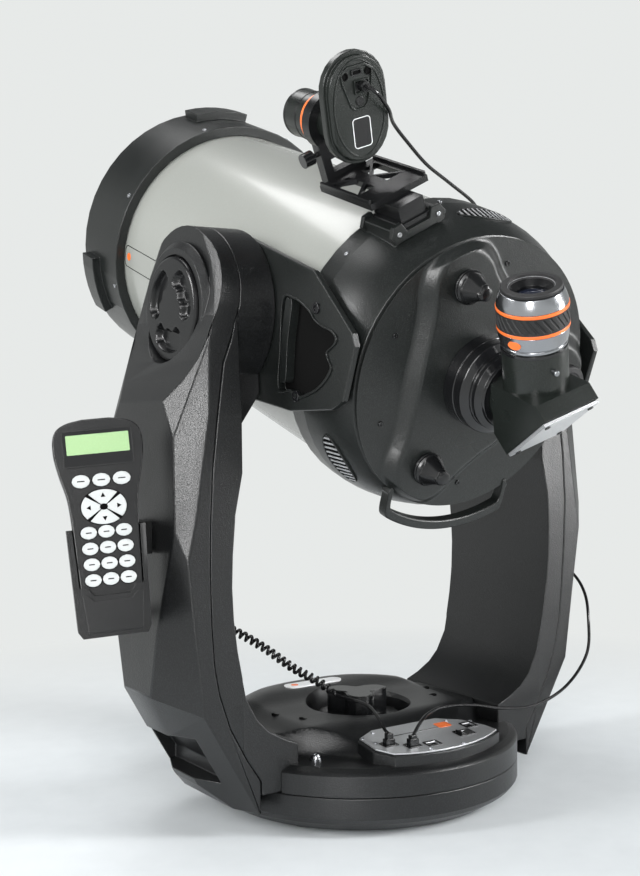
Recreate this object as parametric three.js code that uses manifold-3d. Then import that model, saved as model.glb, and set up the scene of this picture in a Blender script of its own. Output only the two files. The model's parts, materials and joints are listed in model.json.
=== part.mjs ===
// Schmidt-Cassegrain telescope on a dual-arm fork mount.
// Millimetres, +Z up, the floor at z = 0, the azimuth axis on the z axis.
// -Y is the side with the control panel and the eyepiece, +Y the side the tube looks towards.
import * as THREE from "three";
import Module from "manifold-3d";

const wasm = await Module();
wasm.setup();

// Driving dimensions of the mount.
const AXIS_H = 500;            // height of the altitude axis
const REST_TILT = 19.5;        // altitude of the tube as modelled, degrees
const GAP = 0.3;               // clearance between neighbouring parts
const BASE_R = 167;            // radius of the base at its seam
const BASE_FOOT_R = 144.7;     // radius of the underside
const SEAM_Z = 39.4;           // top of the fixed lower housing
const RIM_Z = 62.8;            // top edge of the turning housing
const ARM_FACE_X = 148;        // inner face of the fork heads
const HEAD_R = 80;             // radius of the fork heads
const BOSS_X = 188;            // where the head boss meets the arm plate
const KNOB_X = 218;            // outer face of the altitude clutch knob
const KNOB_R = 50;

// Driving dimensions of the optical tube, along its axis from the altitude axis.
const TUBE_R = 140;
const TUBE_FRONT = 296;
const TUBE_REAR = -124;
const RING_REAR = 271;
const RING_FRONT = 360;
const CELL_FRONT = -110.5;
const CELL_BEVEL = -196;
const CELL_FACE = -201;
const PLATEAU = -212;          // rear face of the three-lobed plateau
const DIAG_L = -290;           // station of the eyepiece axis
const DIAG_ROLL = 20.7;        // the diagonal is turned this far towards -X
const FINDER_ROLL = 30;        // the finder shoe sits this far round towards -X
const BACK_BORE = 25.4;        // half of a two-inch drawtube bore
const HOLDER_BORE = 25.5;      // bore of the eyepiece holder
const DRAWTUBE_R = 25.3;       // radius of the eyepiece's drawtube
const CAMERA_X = 3;            // lens axis of the finder camera across its shoe
const CAMERA_UP = 228;         // lens axis of the finder camera above the tube axis

// Looks: slot name, colour, metalness, roughness.
const BLACK_PAINT = ["mount_paint", 0x34373a, 0.1, 0.55];
const CELL_PAINT = ["cell_paint", 0x3c4042, 0.2, 0.5];
const WHITE_PAINT = ["tube_paint", 0xdfe3df, 0, 0.35];
const BLACK_PLASTIC = ["black_plastic", 0x1d1e20, 0, 0.45];
const RUBBER = ["soft_rubber", 0x17181a, 0, 0.85];
const KEYS = ["key_rubber", 0xe8e8e4, 0, 0.6];
const ANODISED = ["anodised", 0x2b3230, 0.6, 0.4];
const SILVER = ["silver_plate", 0xc9ccce, 0.7, 0.35];
const CHROME = ["chrome_trim", 0xd8dadc, 1, 0.12];
const STEEL = ["steel", 0x9ea2a6, 0.9, 0.35];
const GLASS = ["optical_glass", 0xcfe0e6, 0, 0.05];
const MIRROR = ["mirror_coating", 0xe6e9ec, 1, 0.03];
const CORD = ["cord_jacket", 0x111214, 0, 0.6];

// ---------------------------------------------------------------- solids

function volumeOf(vertices, triangles) {
  let sum = 0;
  const p = (i) => [vertices[3 * i], vertices[3 * i + 1], vertices[3 * i + 2]];
  for (let t = 0; t < triangles.length; t += 3) {
    const [a, b, c] = [p(triangles[t]), p(triangles[t + 1]), p(triangles[t + 2])];
    sum += a[0] * (b[1] * c[2] - b[2] * c[1]);
    sum += a[1] * (b[2] * c[0] - b[0] * c[2]);
    sum += a[2] * (b[0] * c[1] - b[1] * c[0]);
  }
  return sum / 6;
}

// Welds a three.js geometry into a closed manifold solid facing out.
function solid(geometry) {
  const position = geometry.getAttribute("position");
  const index = geometry.getIndex();
  const count = index ? index.count : position.count;
  const keys = new Map();
  const vertices = [];
  const weld = (i) => {
    const xyz = [position.getX(i), position.getY(i), position.getZ(i)];
    const key = xyz.map((v) => Math.round(v * 1e4)).join(",");
    if (!keys.has(key)) {
      keys.set(key, vertices.length / 3);
      vertices.push(...xyz);
    }
    return keys.get(key);
  };
  const triangles = [];
  for (let i = 0; i < count; i += 3) {
    const t = [0, 1, 2].map((k) => weld(index ? index.getX(i + k) : i + k));
    if (t[0] !== t[1] && t[1] !== t[2] && t[2] !== t[0]) triangles.push(...t);
  }
  if (volumeOf(vertices, triangles) < 0) {
    for (let i = 0; i < triangles.length; i += 3) {
      [triangles[i + 1], triangles[i + 2]] = [triangles[i + 2], triangles[i + 1]];
    }
  }
  return new wasm.Manifold(new wasm.Mesh({
    numProp: 3,
    vertProperties: Float32Array.from(vertices),
    triVerts: Uint32Array.from(triangles),
  }));
}

function toGeometry(body) {
  const mesh = body.getMesh();
  const geometry = new THREE.BufferGeometry();
  geometry.setAttribute("position", new THREE.BufferAttribute(mesh.vertProperties, 3));
  geometry.setIndex(new THREE.BufferAttribute(mesh.triVerts, 1));
  geometry.computeVertexNormals();
  return geometry;
}

const joined = (...bodies) => bodies.reduce((a, b) => a.add(b));
const cut = (body, ...tools) => tools.reduce((a, b) => a.subtract(b), body);

// Points of an arc, angles in degrees.
function arc(cx, cy, r, from, to, steps) {
  return Array.from({ length: steps + 1 }, (_, i) => {
    const a = THREE.MathUtils.degToRad(from + (to - from) * i / steps);
    return [cx + r * Math.cos(a), cy + r * Math.sin(a)];
  });
}

function shapeOf(points) {
  return new THREE.Shape(points.map(([x, y]) => new THREE.Vector2(x, y)));
}

function extrude(points, depth) {
  return new THREE.ExtrudeGeometry(shapeOf(points), { depth, bevelEnabled: false });
}

// Prisms along each axis; the outline is given in the other two axes in x, y, z order.
function prismZ(points, z0, z1) {
  return extrude(points, z1 - z0).translate(0, 0, z0);
}

function prismX(points, x0, x1) {
  const swap = new THREE.Matrix4().set(0, 0, 1, 0, 1, 0, 0, 0, 0, 1, 0, 0, 0, 0, 0, 1);
  return extrude(points, x1 - x0).applyMatrix4(swap).translate(x0, 0, 0);
}

function prismY(points, y0, y1) {
  return extrude(points, y1 - y0).rotateX(Math.PI / 2).translate(0, y1, 0);
}

// Bodies of revolution from [radius, height] points.
function turnedY(profile, sides = 48) {
  const points = profile.map(([r, y]) => new THREE.Vector2(r, y));
  const first = points[0];
  const last = points[points.length - 1];
  const closed = first.x > 0 || last.x > 0;
  if (closed) points.push(first.clone());
  return new THREE.LatheGeometry(points, sides);
}

const turnedZ = (profile, sides) => turnedY(profile, sides).rotateX(Math.PI / 2);
const turnedX = (profile, sides) => turnedY(profile, sides).rotateZ(-Math.PI / 2);

const rodProfile = (r, from, to) => [[0, from], [r, from], [r, to], [0, to]];
const ringProfile = (inner, outer, from, to) => [[inner, from], [outer, from], [outer, to], [inner, to]];

function box(x0, x1, y0, y1, z0, z1) {
  const g = new THREE.BoxGeometry(x1 - x0, y1 - y0, z1 - z0);
  return g.translate((x0 + x1) / 2, (y0 + y1) / 2, (z0 + z1) / 2);
}

// Removes what lies beyond the plane through three points, on the side the direction points to.
function shave(body, a, b, c, away) {
  const [pa, pb, pc, out] = [a, b, c, away].map((p) => new THREE.Vector3(...p));
  const normal = pb.clone().sub(pa).cross(pc.clone().sub(pa)).normalize();
  if (normal.dot(out) < 0) normal.negate();
  const size = 600;
  const slab = new THREE.BoxGeometry(size, size, size).translate(0, 0, size / 2);
  const turn = new THREE.Quaternion().setFromUnitVectors(new THREE.Vector3(0, 0, 1), normal);
  slab.applyQuaternion(turn).translate(pa.x, pa.y, pa.z);
  return body.subtract(solid(slab));
}

// A round tube along a smooth curve through the points.
function hose(points, radius, sides, steps) {
  const path = new THREE.CatmullRomCurve3(points.map((p) => new THREE.Vector3(...p)));
  const outline = shapeOf(arc(0, 0, radius, 0, 360 - 360 / sides, sides - 1));
  return new THREE.ExtrudeGeometry(outline, { steps, extrudePath: path, bevelEnabled: false });
}

// ---------------------------------------------------------------- frames

// Tube frame: x is world x, y runs along the tube from the altitude axis, z is up from the tube.
// A part given a roll is turned about the tube axis towards -X first.
function place(body, roll = 0) {
  return body.rotate([0, -roll, 0]).rotate([REST_TILT, 0, 0]).translate([0, 0, AXIS_H]);
}

// Frame of the hand controller: x across its face, y up its face, z out of its face.
const HAND_FACE = [-309.7, -51.6, 293.5];
const HAND_TURN = 22;
const HAND_LEAN = 6;
const HAND_ROLL = 4.5;
const HAND_THICK = 30;

function handMatrix() {
  const rad = THREE.MathUtils.degToRad;
  const m = new THREE.Matrix4().makeTranslation(...HAND_FACE);
  m.multiply(new THREE.Matrix4().makeRotationZ(rad(-HAND_TURN)));
  m.multiply(new THREE.Matrix4().makeRotationX(rad(90 - HAND_LEAN)));
  m.multiply(new THREE.Matrix4().makeRotationZ(rad(HAND_ROLL)));
  return m;
}

const onHand = (body) => body.transform(Array.from(handMatrix().elements));

const telescope = new THREE.Group();
telescope.name = "schmidt_cassegrain_telescope";

function add(name, body, look) {
  const [slot, color, metalness, roughness] = look;
  const material = new THREE.MeshStandardMaterial({ color, metalness, roughness });
  material.name = slot;
  const mesh = new THREE.Mesh(toGeometry(body), material);
  mesh.name = name;
  telescope.add(mesh);
}

// ---------------------------------------------------------------- base

// Fixed lower shell with its bearing hub, a pad at the centre and three feet.
function baseLowerHousing() {
  const wall = 6;
  const profile = [
    [0, 0], [16, 0], [16, 2], [BASE_FOOT_R, 2], [BASE_R - 5, 13], [BASE_R, 19], [BASE_R, SEAM_Z],
    [BASE_R - wall, SEAM_Z], [BASE_R - wall, 20], [BASE_R - 22, 8],
    [30, 8], [30, SEAM_Z - 4], [0, SEAM_Z - 4],
  ];
  const feet = [90, 210, 330].map((angle) => {
    const a = THREE.MathUtils.degToRad(angle);
    return solid(turnedZ(rodProfile(14, 0, 2.5), 20).translate(126 * Math.cos(a), 126 * Math.sin(a), 0));
  });
  return joined(solid(turnedZ(profile, 56)), ...feet);
}

function azimuthGear() {
  const teeth = 40;
  const outline = Array.from({ length: teeth * 2 }, (_, i) => {
    const r = i % 2 ? 84 : 81;
    const a = Math.PI * i / teeth;
    return [r * Math.cos(a), r * Math.sin(a)];
  });
  const bore = solid(turnedZ(rodProfile(30 + GAP, 8, 24), 40));
  return solid(prismZ(outline, 8 + GAP, 20)).subtract(bore);
}

// Outline of the raised control panel block, its rear edge following the rim.
function panelOutline(inset) {
  const r = 157 - inset;
  return [
    [-69 + inset, -94], [-42, -78 - inset], [38, -78 - inset], [64 - inset, -97],
    [75 - inset, -119], ...arc(0, 0, r, -61, -113, 10), [-72 + inset, -124],
  ];
}

function panelBlock(top, inset) {
  const slope = [[-200, top - 12.6], [-40, top + 4.1], [-40, 50], [-200, 50]];
  const wedge = solid(prismX(slope, -100, 100));
  return solid(prismZ(panelOutline(inset), 55, 110)).intersect(wedge);
}

// Port and switch openings in the control panel: centre, half width, half depth.
const PORTS = [[-50, -120, 6, 4], [-31, -133, 6, 4], [-10, -137, 6, 4], [57, -112, 5, 5]];
const SWITCH = [38, -128];

// Section of the turning housing seen along x: low behind the panel, highest at the front.
const MOUND = [
  [-160, 60], [-150, 65], [-128, 68], [-98, 74], [-76, 83], [-60, 90], [0, 90], [36, 92],
  [70, 99], [98, 99], [124, 88], [150, 66], [160, 60],
];

// Plan of that section: it narrows behind the arms to leave a flat ledge on each side of the panel.
const MOUND_PLAN = [
  [-86, -150], [86, -150], [86, -70], [112, -50], [150, -30], [150, 150], [-150, 150],
  [-150, -30], [-112, -50], [-86, -70],
];

// The bubble level on the rear ledge.
const BUBBLE = [-108, -80];
const LEDGE_Z = 64.4;

function bubbleLevel() {
  const dome = [[0, LEDGE_Z + GAP], [6.5, LEDGE_Z + GAP], [6.5, 67], ...arc(0, 67, 5.5, 0, 90, 4)];
  return solid(turnedZ(dome, 20).translate(...BUBBLE, 0));
}

function baseUpperHousing() {
  const disc = [
    [0, SEAM_Z + 2 * GAP], [BASE_R, SEAM_Z + 2 * GAP], [BASE_R, 60], [BASE_R - 3.5, RIM_Z],
    [158, LEDGE_Z], [0, LEDGE_Z],
  ];
  const dome = [[0, 61], [160, 61], [152, 66], [136, 84], [118, 94], [95, 101], [0, 101]];
  const plan = solid(prismZ(MOUND_PLAN, 50, 120));
  const mound = solid(prismX(MOUND, -150, 150)).intersect(solid(turnedZ(dome, 48))).intersect(plan);
  const hollow = solid(turnedZ([[62, 30], [BASE_R - 7, 30], [BASE_R - 7, 56], [62, 66]], 40));
  const well = solid(turnedZ([[0, 72], [54, 72], [54, 88], [57, 110], [0, 110]], 40));
  const bore = solid(turnedZ(rodProfile(12, 20, 80), 24));
  const ports = PORTS.map(([x, y, w, d]) => solid(box(x - w, x + w, y - d, y + d, 66, 95)));
  ports.push(solid(box(SWITCH[0] - 8.3, SWITCH[0] + 8.3, SWITCH[1] - 5.3, SWITCH[1] + 5.3, 66, 95)));
  const feet = [-1, 1].map((s) => solid(box(126.7, 190, -79.3, 79.3, 30, 120)).scale([s, 1, 1]));
  const body = joined(solid(turnedZ(disc, 64)), mound, panelBlock(82, 0));
  return cut(body, hollow, well, bore, ...feet, ...ports);
}

function panelPlate() {
  const top = panelBlock(84, 3);
  const under = panelBlock(82 + GAP, 0);
  const ports = PORTS.map(([x, y, w, d]) => solid(box(x - w, x + w, y - d, y + d, 66, 95)));
  const pocket = solid(box(SWITCH[0] - 8.3, SWITCH[0] + 8.3, SWITCH[1] - 5.3, SWITCH[1] + 5.3, 66, 95));
  return cut(top, under, ...ports, pocket);
}

// A rocker that tips about an axis along y at z = 78.
function powerSwitch() {
  const rocker = [[-7.2, 74], [7.2, 74], [7.2, 80.5], [0, 78.5], [-7.2, 82.5]];
  return solid(prismY(rocker, -5, 5).translate(SWITCH[0], SWITCH[1], 0));
}

// Three-lobed azimuth clutch knob with its shaft into the bearing.
function azimuthClutchKnob() {
  const lobes = Array.from({ length: 36 }, (_, i) => {
    const a = Math.PI * i / 18;
    const r = 26 + 9 * Math.cos(3 * a);
    return [r * Math.cos(a), r * Math.sin(a)];
  });
  const shaft = solid(turnedZ(rodProfile(11, 50, 80), 24));
  return joined(solid(prismZ(lobes, 78, 103)), shaft, solid(turnedZ(rodProfile(44, 73, 79), 40)));
}

// A motor with its gearbox, lying under the turning housing.
function azimuthMotor() {
  const can = solid(turnedX(rodProfile(16, -40, 20), 24).translate(0, 100, 58 - 18));
  return can.add(solid(box(20, 44, 88, 116, 26, 52)));
}

// ---------------------------------------------------------------- fork arms

// Outline of an arm seen along x, in y and z.
function armSide(bottom) {
  const down = [[84, 400], [84, 300], [80.5, 200], [79, 130], [78, bottom]];
  const head = arc(0, AXIS_H, HEAD_R, -12, 192, 24);
  return [[-78, bottom], [78, bottom], ...down.slice(0, 4).reverse(), ...head,
    ...down.slice(0, 4).map(([y, z]) => [-y, z])];
}

// Seam between the inner casting and the outer cover, in |x| and z, from the top down.
const SEAM = [
  [184, 585], [184.5, 523], [187, 500], [195, 470], [205, 446], [213, 400], [219, 350],
  [222, 300], [222, 255], [220, 205], [217, 168], [212, 142], [201, 109], [183, 76], [170, 57],
];

function forkArmInner(side) {
  const inner = [
    [150.5, 41], [127, 41], [127, 84.5], [143, 91], [160, 101], [172, 113], [184, 135],
    [193, 180], [197, 210], [199, 240], [198.5, 270], [196, 307], [188, 345],
    [172, 385], [ARM_FACE_X, 418], [ARM_FACE_X, 585],
  ];
  const front = solid(prismY([...inner, ...SEAM, [168, 54], [168, 41]], -100, 100));
  const plate = front.intersect(solid(prismX(armSide(41), BOSS_X, 240)));
  const foot = front.intersect(solid(box(120, BOSS_X + 0.01, -79, 79, 41, 290)));
  const bossSide = [...arc(0, AXIS_H, HEAD_R, -52, 232, 32), [-52, 330], [52, 330]];
  const boss = front.intersect(solid(prismX(bossSide, ARM_FACE_X, BOSS_X + 0.01)));
  const bore = solid(turnedX(rodProfile(20 + GAP, 140, 190), 32).translate(0, 0, AXIS_H));
  const body = joined(plate, foot, boss).subtract(bore);
  return side < 0 ? body.mirror([1, 0, 0]) : body;
}

// Outer face of the cover in |x| and z, from the foot up.
const OUTER = [
  [168.8, 23], [182, 23], [206, 44], [232, 87], [258, 137], [258, 200], [254, 300],
  [250, 412], [238, 430], [227, 450], [219, 470], [213, 490], [209, 510], [205, 540], [203, 585],
];

function forkArmCover(side, knobWell) {
  const seam = SEAM.map(([x, z]) => [x + GAP * 1.4, z]);
  const foot = [[168.8, 54]];
  let body = solid(prismY([...OUTER, ...seam, ...foot], -100, 100));
  body = body.intersect(solid(prismX(armSide(23), 160, 270)));
  for (const s of [-1, 1]) {
    const away = [1, s, 0];
    body = shave(body, [250, 45 * s, 412], [250, 68 * s, 382], [217, 80 * s, 474], away);
    body = shave(body, [250, 68 * s, 382], [217, 80 * s, 474], [238, 83 * s, 310], away);
    body = shave(body, [258, 28 * s, 137], [253, 70 * s, 270], [230, 79 * s, 139], away);
    body = shave(body, [258, 28 * s, 137], [215, 79 * s, 101], [194, 79 * s, 65], away);
  }
  const grip = [[236, 97], [214, 97], [190, 66], [190, 52], [212, 52], [246, 90]];
  body = body.subtract(solid(prismY(grip, -52, 52)));
  if (knobWell) {
    const well = [[0, 207.5], [52, 207.5], [52, 260], [0, 260]];
    const collar = [[50, 207], [64.5, 207], [64.5, 208.5], [58, 214], [50, 214]];
    body = joined(body, solid(turnedX(collar, 48).translate(0, 0, AXIS_H)));
    body = body.subtract(solid(turnedX(well, 48).translate(0, 0, AXIS_H)));
  } else {
    const disc = solid(turnedX(rodProfile(52, 207.5, 216), 32).translate(0, 0, AXIS_H));
    body = body.add(disc);
  }
  const shaft = solid(turnedX(rodProfile(9.5, 180, 209), 24).translate(0, 0, AXIS_H));
  if (knobWell) body = body.subtract(shaft);
  return side < 0 ? body.mirror([1, 0, 0]) : body;
}

// Round knob with three finger hollows and a shaft to the clutch.
function altitudeClutchKnob() {
  const disc = solid(turnedX([[0, -KNOB_X], [KNOB_R - 3, -KNOB_X], [KNOB_R, -KNOB_X + 3],
    [KNOB_R, -208.2], [0, -208.2]], 36));
  const hollows = [90, 210, 330].map((angle) => {
    const a = THREE.MathUtils.degToRad(angle - 60);
    const g = new THREE.SphereGeometry(1, 12, 6).scale(9, 15, 15);
    return solid(g.translate(-KNOB_X - 1, 28 * Math.cos(a), 28 * Math.sin(a)));
  });
  const shaft = solid(turnedX(rodProfile(9, -209, -184.5), 24));
  const body = cut(disc, ...hollows).add(shaft);
  return body.translate([0, 0, AXIS_H]);
}

// ---------------------------------------------------------------- optical tube

// Outside of the rear cell from its front edge to its bevel: radius and station.
const CELL_SIDE = [
  [148, CELL_FRONT], [148, -135], [146, -151], [143, -168], [138, -183], [131.8, CELL_BEVEL],
];

// Profile of the space that the rear cell fills, grown by a clearance.
function cellEnvelope(grow) {
  const side = CELL_SIDE.map(([r, y]) => [r + grow, y - grow / 2]).reverse();
  return [[0, CELL_FACE - grow], [120 + grow, CELL_FACE - grow], ...side, [148 + grow, -100], [0, -100]];
}

// Side plate with its trunnion; local x is world x, y along the tube, z up.
function sidePlate(side) {
  const outline = [
    ...arc(0, 0, 76, -72, 95, 16), [-126, 74], [-200, 38], [-208, 28], [-206, -22],
    [-190, -36], [-128, -59], [-66, -70],
  ];
  const plate = solid(prismX(outline, TUBE_R + 1.2, ARM_FACE_X - 0.6));
  const trunnion = solid(turnedX(rodProfile(20, 142, 183), 32));
  const grip = [[-104, 36], [-126, 36], [-150, 26], [-168, 22], [-172, -8], [-156, -28], [-106, -36]];
  const hollow = solid(prismX(grip, 140, 150));
  const body = joined(plate, trunnion).subtract(hollow);
  const cleared = cut(body, solid(turnedY(cellEnvelope(0.4), 48)));
  return side < 0 ? cleared.mirror([1, 0, 0]) : cleared;
}

function otaTube() {
  return place(solid(turnedY(ringProfile(TUBE_R - 2, TUBE_R, TUBE_REAR, TUBE_FRONT), 48)));
}

// Front ring with raised grip tabs at these angles from the top towards -X.
const TAB_TURNS = [6, 112, 238];

function frontRing() {
  const inner = TUBE_R + GAP;
  const profile = [
    [inner, RING_REAR], [151.4, RING_REAR], [153, RING_FRONT - 3], [151, RING_FRONT],
    [141, RING_FRONT], [123, 346], [119, 346], [119, 341.3], [123.3, 341.3], [123.3, 334],
    [119, 334], [119, 326], [inner, TUBE_FRONT + 2],
  ];
  const tab = [...arc(0, 0, 162, 77.5, 102.5, 5), ...arc(0, 0, 146, 102.5, 77.5, 5)];
  const lug = solid(prismY(tab, RING_FRONT - 45, RING_FRONT - 15));
  const lugs = TAB_TURNS.map((turn) => lug.rotate([0, -turn, 0]));
  return place(joined(solid(turnedY(profile, 48)), ...lugs));
}

function correctorPlate() {
  return place(solid(turnedY(ringProfile(44, 123, 334.3, 341), 40)));
}

function secondaryMirror() {
  const profile = [
    [0, 300], [36, 300], [43, 306], [43, 333.9], [46, 333.9], [46, 330], [48, 330],
    [48, 334], [43.7, 334], [43.7, 341.3], [48, 341.3], [48, 350], [44, 354], [0, 354],
  ];
  return place(solid(turnedY(profile, 28)));
}

function primaryMirror() {
  return place(solid(turnedY(ringProfile(31.2, 119, -158, -138), 40)));
}

function mirrorBaffle() {
  const profile = [[26, -204], [30.6, -204], [30.6, 20], [29, 60], [26, 60]];
  return place(solid(turnedY(profile, 28)));
}

// Angles of the three lobes of the plateau about the tube axis, from +X towards up.
const LOBES = [115, 244, 0];
const LOBE_R = 96;

function lobeCentre(i) {
  const a = THREE.MathUtils.degToRad(LOBES[i]);
  return [LOBE_R * Math.cos(a), LOBE_R * Math.sin(a)];
}

// Rear cell: a cup that holds the primary mirror, with the plateau and the finder shoe.
function rearCell() {
  const profile = [
    [TUBE_R + GAP, CELL_FRONT], ...CELL_SIDE, [120, CELL_FACE], [31, CELL_FACE],
    [31, -192], [118, -192], [134, -168], [134, -128], [TUBE_R + GAP, -128],
  ];
  let body = solid(turnedY(profile, 48));
  const stand = [solid(turnedY(rodProfile(62, PLATEAU, CELL_FACE + 4), 32))];
  for (let i = 0; i < 3; i += 1) {
    const [x, z] = lobeCentre(i);
    const arm = solid(turnedY(rodProfile(30, PLATEAU, CELL_FACE + 4), 24).translate(x, 0, z));
    stand.push(arm);
    const bar = new THREE.BoxGeometry(LOBE_R, CELL_FACE + 4 - PLATEAU, 60).translate(LOBE_R / 2, 0, 0);
    bar.rotateY(-THREE.MathUtils.degToRad(LOBES[i])).translate(0, (PLATEAU + CELL_FACE + 4) / 2, 0);
    stand.push(solid(bar));
  }
  body = joined(body, ...stand);
  const bore = solid(turnedY(rodProfile(31, PLATEAU - 5, -190), 28));
  const holes = [0, 1, 2].map((i) => {
    const [x, z] = lobeCentre(i);
    return solid(turnedY(rodProfile(5.5, PLATEAU - 5, -185), 16).translate(x, 0, z));
  });
  const block = solid(box(-27, 27, -167, -121, 140, 156));
  const shoe = block.subtract(solid(turnedY(rodProfile(141, -170, -100), 48)));
  body = cut(joined(body, shoe.rotate([0, -FINDER_ROLL, 0])), bore, ...holes);
  const slot = [[-16.5, 156.5], [-20.5, 150], [20.5, 150], [16.5, 156.5]];
  const dovetail = solid(prismY(slot, -175, -100)).rotate([0, -FINDER_ROLL, 0]);
  return place(body.subtract(dovetail));
}

// Lifting handle under the rear cell.
function rearHandle() {
  const bow = [...arc(0, 0, 156, -122, -58, 10), ...arc(0, 0, 146, -58, -122, 8)];
  const bar = solid(prismY(bow, -204, -190));
  const ends = [-61, -119].map((angle) => {
    const end = [...arc(0, 0, 155, angle - 3, angle + 3, 2), ...arc(0, 0, 127, angle + 3, angle - 3, 2)];
    return solid(prismY(end, -203, -191));
  });
  return place(joined(bar, ...ends).subtract(solid(turnedY(cellEnvelope(0.5), 48))));
}

function focusKnob() {
  const [x, z] = lobeCentre(2);
  const grip = Array.from({ length: 48 }, (_, i) => {
    const r = i % 4 < 2 ? 19 : 18;
    const a = Math.PI * i / 24;
    return [r * Math.cos(a), r * Math.sin(a)];
  });
  const knob = solid(prismY(grip, PLATEAU - 26, PLATEAU - 0.6));
  const shaft = solid(turnedY(rodProfile(5, PLATEAU - 1, -168), 20));
  return place(joined(knob, shaft).translate([x, 0, z]));
}

// Cone-shaped knob that locks the mirror.
function mirrorLockKnob(i) {
  const [x, z] = lobeCentre(i);
  const profile = [
    [0, PLATEAU - 28], [5, PLATEAU - 28], [7, PLATEAU - 25], [13, PLATEAU - 8],
    [16, PLATEAU - 5], [16, PLATEAU - 0.6], [5, PLATEAU - 0.6], [5, -195], [0, -195],
  ];
  return place(solid(turnedY(profile, 28).translate(x, 0, z)));
}

function visualBack() {
  const profile = [
    [BACK_BORE, -254.6], [31, -254.6], [32, -252], [37, -248], [37, -240],
    [44, -236], [44, PLATEAU - GAP], [BACK_BORE, PLATEAU - GAP],
  ];
  return place(solid(turnedY(profile, 28)));
}

// Diagonal body: side outline in the station along the tube and the height towards the eyepiece.
function diagonalBody() {
  const side = [[-265, 26], [-324, 26], [-335, 15], [-281, -39], [-265, -24]];
  const block = solid(prismX(side, -30, 30));
  const nose = solid(turnedY(rodProfile(BACK_BORE - GAP, -267, -232), 32));
  const light = solid(turnedY(rodProfile(21, -291, -231), 24));
  const up = solid(turnedZ(rodProfile(23, -1, 60), 24).translate(0, DIAG_L, 0));
  const collar = [
    [23, 25.99], [28.6, 25.99], [28.6, 62.5], [27.8, 63.5], [HOLDER_BORE, 63.5],
    [HOLDER_BORE, 32], [23, 32],
  ];
  const holder = solid(turnedZ(collar, 32).translate(0, DIAG_L, 0));
  return place(cut(joined(block, nose), light, up).add(holder), DIAG_ROLL);
}

// Plate that closes the slanted face, given as (along the tube, towards the eyepiece).
function diagonalPlate() {
  const thick = 3;
  const shift = (d) => [[-333 - d, 13 - d], [-283 - d, -37 - d]];
  const near = shift(GAP * Math.SQRT1_2);
  const far = shift((GAP + thick) * Math.SQRT1_2);
  return place(solid(prismX([near[0], near[1], far[1], far[0]], -30, 30)), DIAG_ROLL);
}

// Heights along the eyepiece axis from the tube axis: shoulder, top of the barrel, top of the eyecup.
const SHOULDER = 64;
const BARREL_TOP = 114;
const EYECUP_TOP = 118;

function eyepieceBody() {
  const profile = [
    [17, 33], [DRAWTUBE_R, 33], [DRAWTUBE_R, SHOULDER], [28.6, SHOULDER], [29.6, 68], [31, 82],
    [31, 100], [30, 107], [27.5, BARREL_TOP], [17, BARREL_TOP],
  ];
  return place(solid(turnedZ(profile, 32).translate(0, DIAG_L, 0)), DIAG_ROLL);
}

function eyecup() {
  const profile = [
    [18, BARREL_TOP + GAP], [26, BARREL_TOP + GAP], [26.2, BARREL_TOP + 2],
    [25.4, EYECUP_TOP], [20.5, EYECUP_TOP],
  ];
  return place(solid(turnedZ(profile, 28).translate(0, DIAG_L, 0)), DIAG_ROLL);
}

// ---------------------------------------------------------------- finder camera

// Height of the clamp screw above the tube axis.
const CLAMP_UP = 204;

// Bracket with a dovetail foot, a deck and an upright ring for the camera barrel.
function finderBracket() {
  const foot = [[-16, 156.2], [-20, 150.3], [20, 150.3], [16, 156.2]];
  const tail = solid(prismY(foot, -167, -121));
  const neck = solid(box(-14, 14, -165, -123, 156.1, 172));
  const deck = solid(box(-29, 35, -146, -62, 171.9, 178));
  const windows = [-13, 19].map((x) => solid(box(x - 9, x + 9, -118, -74, 170, 180)));
  const upright = solid(box(CAMERA_X - 22, CAMERA_X + 22, -62.1, -50, 172, CAMERA_UP));
  const ring = solid(turnedY(rodProfile(27, -62.1, -50), 36).translate(CAMERA_X, 0, CAMERA_UP));
  const bore = solid(turnedY(rodProfile(18 + GAP, -70, -40), 36).translate(CAMERA_X, 0, CAMERA_UP));
  const window = solid(box(CAMERA_X - 13, CAMERA_X + 13, -70, -40, 183, 196));
  const screw = solid(turnedX(rodProfile(2.7, -40, 0), 16).translate(0, -56, CLAMP_UP));
  return place(cut(joined(tail, neck, deck, upright, ring), ...windows, bore, window, screw), FINDER_ROLL);
}

// Upright rounded outline, leaning towards +x by the camera's own turn in its ring.
function capsule(halfWidth, halfHeight, steps) {
  const straight = halfHeight - halfWidth;
  const lean = THREE.MathUtils.degToRad(CASE_LEAN);
  const [cx, cz] = [straight * Math.sin(lean), straight * Math.cos(lean)];
  return [
    ...arc(cx, cz, halfWidth, -CASE_LEAN, 180 - CASE_LEAN, steps),
    ...arc(-cx, -cz, halfWidth, 180 - CASE_LEAN, 360 - CASE_LEAN, steps),
  ];
}

// The plug's place on the back of the finder camera, across and above the tube axis.
const CAMERA_PORT = [12, 266.8];

// Centre of the finder camera's case, across and above the tube axis, and its lean in degrees.
const CASE_CENTRE = [5, 248];
const CASE_LEAN = 9.5;

function portBox(grow, rear, front) {
  const [x, z] = CAMERA_PORT;
  return solid(box(x - 6.5 - grow, x + 6.5 + grow, rear, front, z - 4 - grow, z + 4 + grow));
}

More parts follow.
